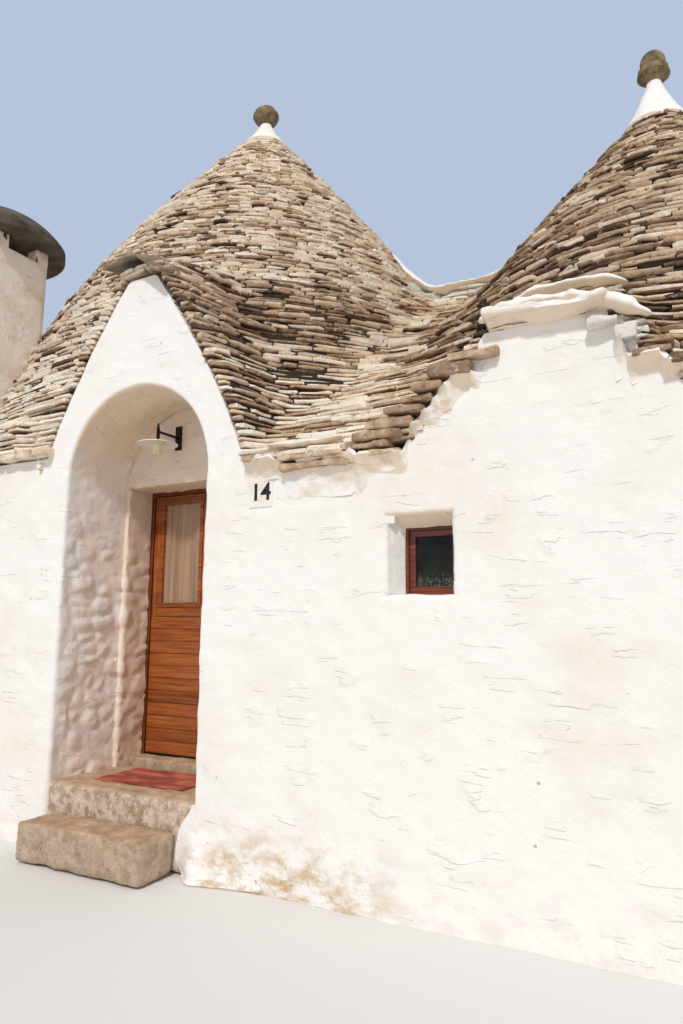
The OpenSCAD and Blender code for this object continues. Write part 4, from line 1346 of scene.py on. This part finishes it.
def makeHood():
    # lumpy plastered hood that sinks a little to its right end and is cut back below
    low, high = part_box("eyebrow_hood")
    points, faces = roundedBlock(low, high, hood["edge"], hood["cell"], hood["lumps"], hood["seed"])
    core = np.clip(points, np.array(low) + hood["core"], np.array(high) - hood["core"])
    swell = 0.020 * softNoise(points, 0.16, 78) + 0.010 * softNoise(points, 0.05, 79) - 0.012
    points += unit(points - core) * swell[:, None]
    share = (points[:, 2] - low[2]) / (high[2] - low[2])
    points[:, 2] -= hood["sink"] * easeBetween(low[0], high[0], points[:, 0]) * share
    back = hood["undercut"] * (1 - easeBetween(0.05, 0.55, share))
    points[:, 1] += back * (points[:, 1] < low[1] + 0.1)
    piece = makePiece("hood_block", points, faces, wallLime, crease=50)
    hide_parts("eyebrow_hood")


gableCap = {
    "width": 0.58,
    "reach": 0.112,
    "length": 0.38,
    "thick": 0.045,
    "droop": 0.18,
    "leftDroop": 0.05,
    "lift": 0.035,
    "ridgeHalf": 0.11,
}
# behind the cap: X, distance from the front, length and tone of each ridge slab
ridgeSlabs = [
    (-1.17, 0.20, 0.26, 0.3), (-1.19, 0.30, 0.26, 0.4), (-1.28, 0.34, 0.22, 0.6),
    (-1.20, 0.50, 0.24, 0.5), (-1.30, 0.54, 0.26, 0.3), (-1.21, 0.70, 0.22, 0.7),
    (-1.29, 0.76, 0.20, 0.5), (-1.22, 0.88, 0.24, 0.5),
]


def makeGableCap():
    # the cap droops to its right, and the ridge slabs follow the gable's rise behind it
    gable = roof["gable"]
    x = gable["x"]
    tilt = np.array([x, frontY, gable["height"]]), np.radians(gable["rise"])
    half = gableCap["width"] / 2
    foot = gable["height"] + gable["cover"]
    start = frontY - gableCap["reach"]
    low = (x - half, start, foot)
    high = (x + half, start + gableCap["length"], foot + gableCap["thick"])
    points, faces = roundedBlock(low, high, 0.018, 0.022, 0.012, 41, tilt)
    points[:, 2] -= gableCap["droop"] * easeBetween(x - 0.02, x + half, points[:, 0])
    points[:, 2] -= gableCap["leftDroop"] * easeBetween(x - 0.05, x - half, points[:, 0])
    points[:, 2] += gableCap["lift"]
    piece = makePiece("gable_cap_slab", points, faces, slabStone, crease=35)
    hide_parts("gable_cap")
    shapes = []
    for number, (middle, start, length, tone) in enumerate(ridgeSlabs):
        low = (middle - gableCap["ridgeHalf"], frontY + start, foot - 0.045)
        high = (middle + gableCap["ridgeHalf"], frontY + start + length, foot - 0.002)
        shapes.append(roundedBlock(low, high, 0.012, 0.025, 0.012, 45 + number, tilt))
    points, faces, owner = joinShapes(shapes)
    tone = np.array(ridgeSlabs)[:, 3][owner]
    makePiece("gable_ridge_slabs", points, faces, roofStone, crease=35,
              values={"tone": tone, "wash": 0 * tone})


layEaves()
layFrontBlocks()
makePlasterLips()
makeHood()
makeGableCap()
makeLimeBands()


# Limewashed skins on the walls

wallSkin = {
    "base": 0.012,
    "least": 0.004,
    "cell": 0.02,
    "plainCell": 0.028,
    "backCell": 0.045,
    "depth": 0.012,
    "roundEdge": 0.018,
    "porchRubble": 0.022,
    "plainRubble": 0.003,
    "stone": (0.21, 0.19, 0.125),
    "browOver": 0.05,
    "raisedTo": -2.11,
    "wedge": (0.12, 2.33),
}
archX, archR, archSpring = roof["gable"]["x"], 0.655, 2.53


def plainness(points):
    # 1 where the wall has to lie flat, behind the number plate and the lamp's plate
    total = np.zeros(points.shape[:-1])
    for node in ("number_plate", "lamp_bracket"):
        low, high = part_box(node)
        x = within(low[0] - 0.01, high[0] + 0.01, points[..., 0], 0.05)
        z = within(low[2] - 0.01, high[2] + 0.01, points[..., 2], 0.05)
        y = within(high[1] - 0.03, high[1] + 0.03, points[..., 1], 0.02)
        total = np.maximum(total, x * y * z)
    return total


def wallLift(points):
    # stones bulge through the plaster, strongly in the porch's sides and hardly on the fronts;
    # broad and fine noise lies over them
    inPorch = easeBetween(frontY - 0.005, frontY + 0.10, points[..., 1]) * (points[..., 1] < -1.6)
    inPorch = inPorch * (np.abs(points[..., 0] - archX) < 0.8)
    low = 1 - 0.85 * easeBetween(1.9, 2.5, points[..., 2])
    bent = points + 0.03 * softNoise(points, 0.16, 17)[..., None]
    gap, value = stoneCells(bent, wallSkin["stone"], 11)
    bulge = easeBetween(0.0, 0.4, gap) * (0.35 + 0.65 * value)
    plain, rough = wallSkin["plainRubble"], wallSkin["porchRubble"]
    rubble = plain + (rough - plain) * inPorch * low
    lift = wallSkin["base"] + rubble * (bulge - 0.25)
    broad = (0.006 + 0.006 * inPorch) * softNoise(points, 0.45, 12)
    lift += broad + 0.004 * softNoise(points, 0.12, 13)
    lift += (0.0012 + 0.003 * inPorch) * softNoise(points, 0.04, 14)
    nearEnd = easeBetween(halfLength - 0.06, halfLength, np.abs(points[..., 0]))
    lift = lift * (1 - 0.8 * nearEnd)
    flat = plainness(points)
    return np.maximum(lift * (1 - flat) + wallSkin["least"] * flat, wallSkin["least"])


def wallTopAt(x):
    # top of the front wall along the house
    top = np.where(x < wallSkin["raisedTo"], leftWallTop, wallTop)
    aside = np.abs(x - roof["brow"]["x"])
    brow = gableOutline(np.maximum(aside - wallSkin["browOver"], 0), roof["brow"])
    inside = aside < roof["brow"]["foot"] + wallSkin["browOver"]
    return np.where(inside, np.maximum(top, brow), top)


def wallSheet(name, base, outward, wrap=False):
    # limewashed skin with the wall's own lift and depth
    limeSkin(name, base, wallLift(base), wallSkin["depth"], outward, wrap)


def sweep(columns):
    # lines in X and Z, each at its own Y, as the columns of one grid
    lines = [np.stack([line[:, 0], np.full(len(line), y), line[:, 1]], -1) for line, y in columns]
    return np.stack(lines, 1)


def wallBand(name, lowX, highX, low, high, y=frontY, out=-1):
    # upright rectangle of wall skin, whose top follows the wall's where no height is given
    cell = wallSkin["plainCell"] if out < 0 else wallSkin["backCell"]
    xs = np.linspace(lowX, highX, max(3, int((highX - lowX) / cell) + 1))
    top = wallTopAt(xs) if high is None else np.full(len(xs), high)
    share = np.linspace(0, 1, int((top.max() - low) / cell) + 2)
    z = low + (top - low)[:, None] * share
    base = np.stack([np.repeat(xs[:, None], len(share), 1), np.full(z.shape, y), z], -1)
    wallSheet(name, base, (0, out, 0))


def porchPaths():
    # three lines around the porch in X and Z, each matched point by point: the gable's outline, the
    # arch and the doorway
    jamb = int(archSpring / wallSkin["cell"])
    arch = int(0.5 * np.pi * archR / wallSkin["cell"])
    gable = roof["gable"]
    base = wallTop - roof["rakeDrop"]
    share = np.linspace(0, 1, 40)
    half = gable["foot"] - (gable["foot"] - gable["top"]) * share ** gable["fullness"]
    rake = np.stack([archX - half, base + (gable["height"] - base) * share], -1)
    outline = resample(np.concatenate([rake, [[archX, gable["height"]]]]), arch + 1)
    angle = np.linspace(np.pi, np.pi / 2, arch + 1)
    curve = np.stack([archX + archR * np.cos(angle), archSpring + archR * np.sin(angle)], -1)
    head = doorwayHigh[2]
    left = doorwayLow[0]
    lintel = np.stack([np.linspace(left, archX, arch + 1), np.full(arch + 1, head)], -1)
    halves = []
    lines = ((archX - gable["foot"], base, outline), (archX - archR, archSpring, curve),
             (left, head, lintel))
    for foot, top, upper in lines:
        side = np.stack([np.full(jamb, foot), np.linspace(0, top, jamb, endpoint=False)], -1)
        path = np.concatenate([side, upper])
        mirror = path[-2::-1] * [-1, 1] + [2 * archX, 0]
        halves.append(np.concatenate([path, mirror]))
    return halves


def makePorch():
    # skin from the gable's outline to the arch, round its edge, back through the vault, across the
    # wall over the doorway and along the doorway's sides
    outline, arch, doorway = porchPaths()
    edge = wallSkin["roundEdge"]
    along = np.gradient(arch, axis=0)
    inward = unit(np.stack([along[:, 1], -along[:, 0]], -1))
    rim = arch - inward * edge
    columns = []
    for share in np.linspace(0, 1, 26):
        columns.append((outline + (rim - outline) * share, frontY))
    for angle in np.linspace(0, np.pi / 2, 7)[1:]:
        line = rim + inward * edge * np.sin(angle)
        columns.append((line, frontY + edge * (1 - np.cos(angle))))
    for y in np.linspace(frontY + edge, vaultY, 30)[1:]:
        columns.append((arch, y))
    for share in np.linspace(0, 1, 16)[1:]:
        columns.append((arch + (doorway - arch) * share, vaultY))
    for y in np.linspace(vaultY, doorwayLow[1] - 0.006, 12)[1:]:
        columns.append((doorway, y))
    base = sweep(columns)
    facade = np.zeros(base.shape)
    facade[:, :20, 1] = -1
    wallSheet("porch_skin", base, facade)


windowSurround = {"low": (0.46, 1.40), "high": (1.31, 2.36), "splay": 0.05, "edge": 0.018}


def makeWindowSurround():
    # skin from a rectangle on the wall to the window's opening, and in along its splayed left side
    # and head to the frame
    low, high = windowSurround["low"], windowSurround["high"]
    splay, edge = windowSurround["splay"], windowSurround["edge"]

    def rectangle(lowX, lowZ, highX, highZ):
        corners = [(lowX, lowZ), (lowX, highZ), (highX, highZ), (highX, lowZ)]
        sides = []
        for number in range(4):
            start, end = np.array(corners[number]), np.array(corners[(number + 1) % 4])
            share = np.linspace(0, 1, 26, endpoint=False)[:, None]
            sides.append(start + (end - start) * share)
        return np.concatenate(sides)

    outer = rectangle(low[0], low[1], high[0], high[1])
    mouth = (windowLow[0] - splay, windowLow[2], windowHigh[0], windowHigh[2] + splay)
    rim = rectangle(mouth[0] - edge, mouth[1] - edge, mouth[2] + edge, mouth[3] + edge)
    opening = rectangle(*mouth)
    frameLine = rectangle(windowLow[0], windowLow[2], windowHigh[0], windowHigh[2])
    inset = windowLow[1] - frontY - edge
    columns = [(outer + (rim - outer) * share, frontY) for share in np.linspace(0, 1, 12)]
    for angle in np.linspace(0, np.pi / 2, 5)[1:]:
        line = rim + (opening - rim) * np.sin(angle)
        columns.append((line, frontY + edge * (1 - np.cos(angle))))
    for share in np.linspace(0, 1, 8)[1:]:
        columns.append((opening + (frameLine - opening) * share, frontY + edge + inset * share))
    base = sweep(columns)
    facade = np.zeros(base.shape)
    facade[:, :10, 1] = -1
    wallSheet("window_skin", base, facade, wrap=True)


def skinWalls():
    makePorch()
    makeWindowSurround()
    low, high = windowSurround["low"], windowSurround["high"]
    foot = archX - roof["gable"]["foot"]
    wallBand("left_front_skin", -halfLength, foot, 0, None)
    # the gable narrows under the raised wall's top, and a wedge of wall shows beside it
    wide, under = wallSkin["wedge"]
    wallBand("gable_foot_skin", foot, foot + wide, under, None)
    wallBand("middle_front_skin", archX + roof["gable"]["foot"], low[0], 0, None)
    wallBand("under_window_skin", low[0], high[0], 0, low[1])
    wallBand("over_window_skin", low[0], high[0], high[1], None)
    wallBand("right_front_skin", high[0], halfLength, 0, None)
    wallBand("back_skin", -halfLength, halfLength, 0, wallTop, backY, 1)
    print("walls skinned")


skinWalls()


# Steps, sill and chimney

# node, stone, edge radius, cell, lumps and seed, then how far the low and the high corner move
steps = {
    "worn_lower_step": ("lower_step", stepStone, (0.035, 0.02, 0.010, 51),
                        (0.006, 0.008, 0.008), (-0.006, 0, 0)),
    "worn_porch_floor": ("porch_floor", riserStone, (0.035, 0.02, 0.006, 52),
                         (0, 0, 0.006), (0, 0, 0.003)),
    "worn_sill": ("door_sill", stepStone, (0.02, 0.025, 0.005, 53), (0, 0, 0), (0, 0, 0)),
}


def makeSteps():
    for name, (node, stone, block, lowMove, highMove) in steps.items():
        low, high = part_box(node)
        points, faces = roundedBlock(np.array(low) + lowMove, np.array(high) + highMove, *block)
        piece = makePiece(name, points, faces, stone, crease=50)
        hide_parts(node)


skirt = {"fromX": -0.72, "toX": -0.10, "height": 0.40, "reach": 0.15}


def makeSkirt():
    # plaster mound run down from the wall to the ground beside the steps: it swells from the riser
    # and dies out along the wall, with a hollow curve downwards
    share = np.linspace(0, 1, 44)[:, None]
    down = np.linspace(0, 1, 20)[None, :]
    swell = easeBetween(0.0, 0.3, share) * (1 - share) ** 1.3
    x = skirt["fromX"] + (skirt["toX"] - skirt["fromX"]) * share + 0 * down
    wave = np.stack([0 * x, 0 * x, down + 0 * x], -1)
    x = x + (0.05 * softNoise(wave, 0.3, 56) + 0.06 * (1 - down) ** 3) * (1 - share) ** 4
    y = frontY - 0.004 - (skirt["reach"] * swell + 0.008) * down ** 1.7
    fall = skirt["height"] * (1 - 0.75 * easeBetween(0.1, 1, share)) + 0.02
    z = 0.006 + fall * (1 - down) ** 1.5
    base = np.stack([x, y, z], -1)
    lift = 0.005 + 0.008 * softNoise(base, 0.12, 57) + 0.004 * softNoise(base, 0.04, 58)
    limeSkin("step_skirt", base, lift, 0.012, (0, -1, 1))


chimney = {
    "edge": 0.03,
    "foot": 3.0,
    "lift": 0.006,
    "lumps": 0.010,
    "cell": 0.022,
    "post": 0.12,
    "postTop": 0.128,
    "postGrow": 0.006,
}


def makeChimney():
    # rough render around the shaft: a tube on a rounded square, from inside the roof to its top
    low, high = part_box("chimney_shaft")
    low, high = np.array(low), np.array(high)
    around = []
    edge = chimney["edge"]
    centres = [(high[0] - edge, low[1] + edge), (high[0] - edge, high[1] - edge),
               (low[0] + edge, high[1] - edge), (low[0] + edge, low[1] + edge)]
    for number, centre in enumerate(centres):
        angle = np.radians(-90 + 90 * number) + np.linspace(0, np.pi / 2, 5)
        corner = [centre[0] + edge * np.cos(angle), centre[1] + edge * np.sin(angle)]
        around.append(np.stack(corner, -1))
    path = resample(np.concatenate(around + [around[0][:1]]), 90)[:-1]
    heights = np.arange(chimney["foot"], high[2] + 0.001, chimney["cell"])
    base = np.stack([
        np.repeat(path[:, :1], len(heights), 1), np.repeat(path[:, 1:], len(heights), 1),
        np.repeat(heights[None, :], len(path), 0)], -1)
    lift = chimney["lift"] + chimney["lumps"] * (0.5 + 0.5 * softNoise(base, 0.13, 61))
    lift += 0.002 * softNoise(base, 0.03, 62)
    outward = (base - middleOf("chimney_shaft")) * [1, 1, 0]
    shellPiece("chimney_skin", base, lift, 0.012, chimneyRender, wrap=True,
               outward=outward)
    # rendered posts around the cap's own ones
    grow, post, under = chimney["postGrow"], chimney["post"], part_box("chimney_cap")[0][2]
    posts = []
    for left in (low[0] - grow, high[0] - post - grow):
        for front in (low[1] - grow, high[1] - post - grow):
            far = (left + post + 2 * grow, front + post + 2 * grow, under + chimney["postTop"])
            posts.append(roundedBlock((left, front, under - 0.01), far,
                                      0.014, 0.02, 0.005, int(90 * (left + 9))))
    points, faces = joinShapes(posts)[:2]
    makePiece("chimney_posts", points, faces, chimneyRender, crease=50)


finials = {
    "seeds": {"left": 81, "right": 83},
    "neck": 0.06,
    "lip": 0.02,
    "sunk": 0.03,
    "hollow": 1.25,
    "ballFlat": 0.78,
}


def makeFinials():
    # plaster tips: the radius falls to the neck by a power of the way up
    for name in ("left", "right"):
        low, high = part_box(f"{name}_finial")
        centre = middleOf(f"{name}_finial")
        neck, lip = finials["neck"], finials["lip"]
        share = np.linspace(0, 1, 26)
        wide = high[0] - centre[0]
        radius = neck + (wide - neck) * (1 - share) ** finials["hollow"]
        height = low[2] + lip + (high[2] - low[2] - lip) * share
        foot = low[2] - finials["sunk"]
        profile = [(0, foot), (wide - 0.02, foot), *zip(radius, height),
                   (0.03, high[2]), (0, high[2])]
        points, faces = turnedShape(profile, centre, 64, 0.006, finials["seeds"][name])
        piece = makePiece(f"{name}_plaster_tip", points, faces, wallLime,
                          crease=50)
        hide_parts(f"{name}_finial")


def makeBall():
    # the left ball is a worn stone, a little flatter than round, on the plaster tip
    low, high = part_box("left_ball")
    radius = (high[0] - low[0]) / 2 - 0.008
    angle = np.linspace(-np.pi / 2, np.pi / 2, 40)
    height = low[2] + radius * finials["ballFlat"] * (1 + np.sin(angle))
    profile = list(zip(radius * np.cos(angle), height))
    seed = finials["seeds"]["left"]
    points, faces = turnedShape(profile, middleOf("left_ball"), 64, 0.010, seed)
    piece = makePiece("worn_left_ball", points, faces, ballStone, crease=60)
    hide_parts("left_ball")


makeSteps()
makeSkirt()
makeChimney()
makeFinials()
makeBall()


# The frame's own nodes that stay in view

nodeMaterials = {
    "front_wall_left": wallLime, "front_wall_middle": wallLime, "front_wall_right": wallLime,
    "wall_under_window": wallLime, "wall_over_window": wallLime, "back_wall": wallLime,
    "left_party_wall": wallLime, "right_party_wall": wallLime, "shared_wall": wallLime,
    "porch_gable": wallLime, "door_lintel": wallLime, "left_dome": wallLime, "right_dome": wallLime,
    "eyebrow_wall": wallLime, "left_floor": stepStone, "right_floor": stepStone,
    "chimney_shaft": chimneyRender, "chimney_cap": capStone, "right_ball": ballStone,
    "door_frame": frameWood, "left_door": doorWood, "right_door": doorWood,
    "left_door_glass": doorGlass, "right_door_glass": doorGlass,
    "window_frame": windowWood, "window_sash": windowWood, "window_glass": windowGlass,
    "number_plate": tileGlaze, "lamp_bracket": blackIron, "lamp_shade": whiteEnamel,
    "lamp_glass": lampGlass,
}


def finishNodes():
    # each node's own material, and smooth shading on the turned ones
    for name, material in nodeMaterials.items():
        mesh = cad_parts[name].data
        mesh.materials.clear()
        mesh.materials.append(material)
        if name in ("right_ball", "chimney_cap", "lamp_shade", "lamp_glass"):
            mesh.shade_smooth()
            mesh.set_sharp_from_angle(angle=np.radians(35))


mat = {"length": 0.77, "width": 0.46, "turn": np.radians(2), "cell": 0.012}


def makeMat():
    # flat woven mat: a thin sheet with hemmed, slightly wavy edges
    centre, foot = middleOf("door_mat"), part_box("door_mat")[0][2]
    u = np.linspace(-0.5, 0.5, int(mat["length"] / mat["cell"]))[:, None]
    v = np.linspace(-0.5, 0.5, int(mat["width"] / mat["cell"]))[None, :]
    u, v = np.broadcast_arrays(u, v)
    x, y = u * mat["length"], v * mat["width"]
    cos, sin = np.cos(mat["turn"]), np.sin(mat["turn"])
    flat = np.stack([centre[0] + x * cos - y * sin, centre[1] + x * sin + y * cos,
                     np.full(x.shape, foot)], -1)
    side = np.minimum(0.5 - np.abs(u), (0.5 - np.abs(v)) * mat["width"] / mat["length"])
    hem = 1 - easeBetween(0.0, 0.02, side)
    lift = 0.006 + 0.0012 * softNoise(flat, 0.08, 91) + 0.0012 * hem
    top, under = flat.copy(), flat.copy()
    top[..., 2] += lift
    under[..., 2] += 0.001
    points, faces = between(top, under)
    piece = makePiece("woven_mat", points, faces, matCloth, crease=60)
    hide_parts("door_mat")


houseNumber = {
    "digits": "14",
    "size": 0.15,
    "offset": 0.0035,
    "extrude": 0.0004,
    "proud": 0.0005,
}


def makeNumber():
    # a plain house number, painted on the tile
    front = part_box("number_plate")[0][1] - houseNumber["proud"]
    middle = middleOf("number_plate")
    curve = bpy.data.curves.new("number", "FONT")
    curve.body = houseNumber["digits"]
    for key in ("size", "offset", "extrude"):
        setattr(curve, key, houseNumber[key])
    curve.align_x = curve.align_y = "CENTER"
    text = addObject("number_text", curve)
    bpy.context.view_layer.update()
    mesh = bpy.data.meshes.new_from_object(text)
    bpy.data.objects.remove(text)
    place = Matrix.Translation((middle[0], front, middle[2]))
    mesh.transform(place @ Matrix.Rotation(np.pi / 2, 4, "X"))
    mesh.materials.clear()
    mesh.materials.append(tileInk)
    piece = addObject("house_number", mesh)
    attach(piece, "house")


finishNodes()
makeMat()
makeNumber()
print("nodes finished")


# Camera, light and floor

view = {
    "place": (2.40, -6.31, 1.50),
    "right": (0.87956, 0.47574, 0.00671),
    "up": (0.06828, -0.14017, 0.98777),
    "forward": (-0.47087, 0.86835, 0.15577),
    "lens": 25.70,
    "sunFrom": (0.257, -1.0, 0.99),
    "sunStrength": 1.91,
    "sunSoft": 5.0,
    "skyStrength": 0.58,
    "sky": paint(182, 197, 220),
    "floor": paint(222, 221, 219),
    "floorSize": 60,
    "sunColour": (1.0, 0.98, 0.96),
    "skyLight": (1.0, 0.985, 0.975, 1),
    "sensor": 36,
}


def makeView():
    # the camera stands where the photograph was taken, with its turn and tilt
    camera = bpy.data.cameras.new("camera")
    camera.lens = view["lens"]
    camera.sensor_width = view["sensor"]
    eye = addObject("camera", camera)
    columns = [view["right"], view["up"], tuple(-value for value in view["forward"])]
    turn = Matrix(columns).transposed()
    eye.matrix_world = Matrix.Translation(view["place"]) @ turn.to_4x4()
    bpy.context.scene.camera = eye


def makeLight():
    # a soft sun and a pale sky, and a plain sky where the camera or gloss sees past the house
    sun = bpy.data.lights.new("sun", "SUN")
    sun.energy = view["sunStrength"]
    sun.angle = np.radians(view["sunSoft"])
    sun.color = view["sunColour"]
    lamp = addObject("sun", sun)
    away = np.array(view["sunFrom"]) / np.linalg.norm(view["sunFrom"])
    across = np.cross((0, 0, 1), away)
    across /= np.linalg.norm(across)
    upward = np.cross(away, across)
    lamp.matrix_world = Matrix([across, upward, away]).transposed().to_4x4()
    world = bpy.data.worlds.new("studio")
    bpy.context.scene.world = world
    world.use_nodes = True
    tree = world.node_tree
    tree.nodes.clear()
    path = addNode("ShaderNodeLightPath", beside=tree)
    seen = sums("MAXIMUM", path.outputs["Is Camera Ray"], path.outputs["Is Glossy Ray"])
    seen = sums("MAXIMUM", seen, path.outputs["Is Transmission Ray"])
    soft, backdrop = (
        addNode("ShaderNodeBackground", {"Color": colour, "Strength": strength}, beside=tree)
        for colour, strength in ((view["skyLight"], view["skyStrength"]), (view["sky"], 1.0)))
    mixed = addNode("ShaderNodeMixShader", {0: seen, 1: soft.outputs[0], 2: backdrop.outputs[0]})
    addNode("ShaderNodeOutputWorld", {"Surface": mixed.outputs[0]})


def makeFloor():
    mesh = bpy.data.meshes.new("floor")
    far = view["floorSize"]
    corners = [(-far, -far, 0), (far, -far, 0), (far, far, 0), (-far, far, 0)]
    mesh.from_pydata(corners, [], [(0, 1, 2, 3)])
    material, shader = startMaterial("floorPaper", 0.95)[:2]
    shader.inputs["Base Color"].default_value = view["floor"]
    mesh.materials.append(material)
    floor = addObject("floor", mesh)


makeView()
makeLight()
makeFloor()
bpy.context.scene.view_settings.view_transform = "Standard"
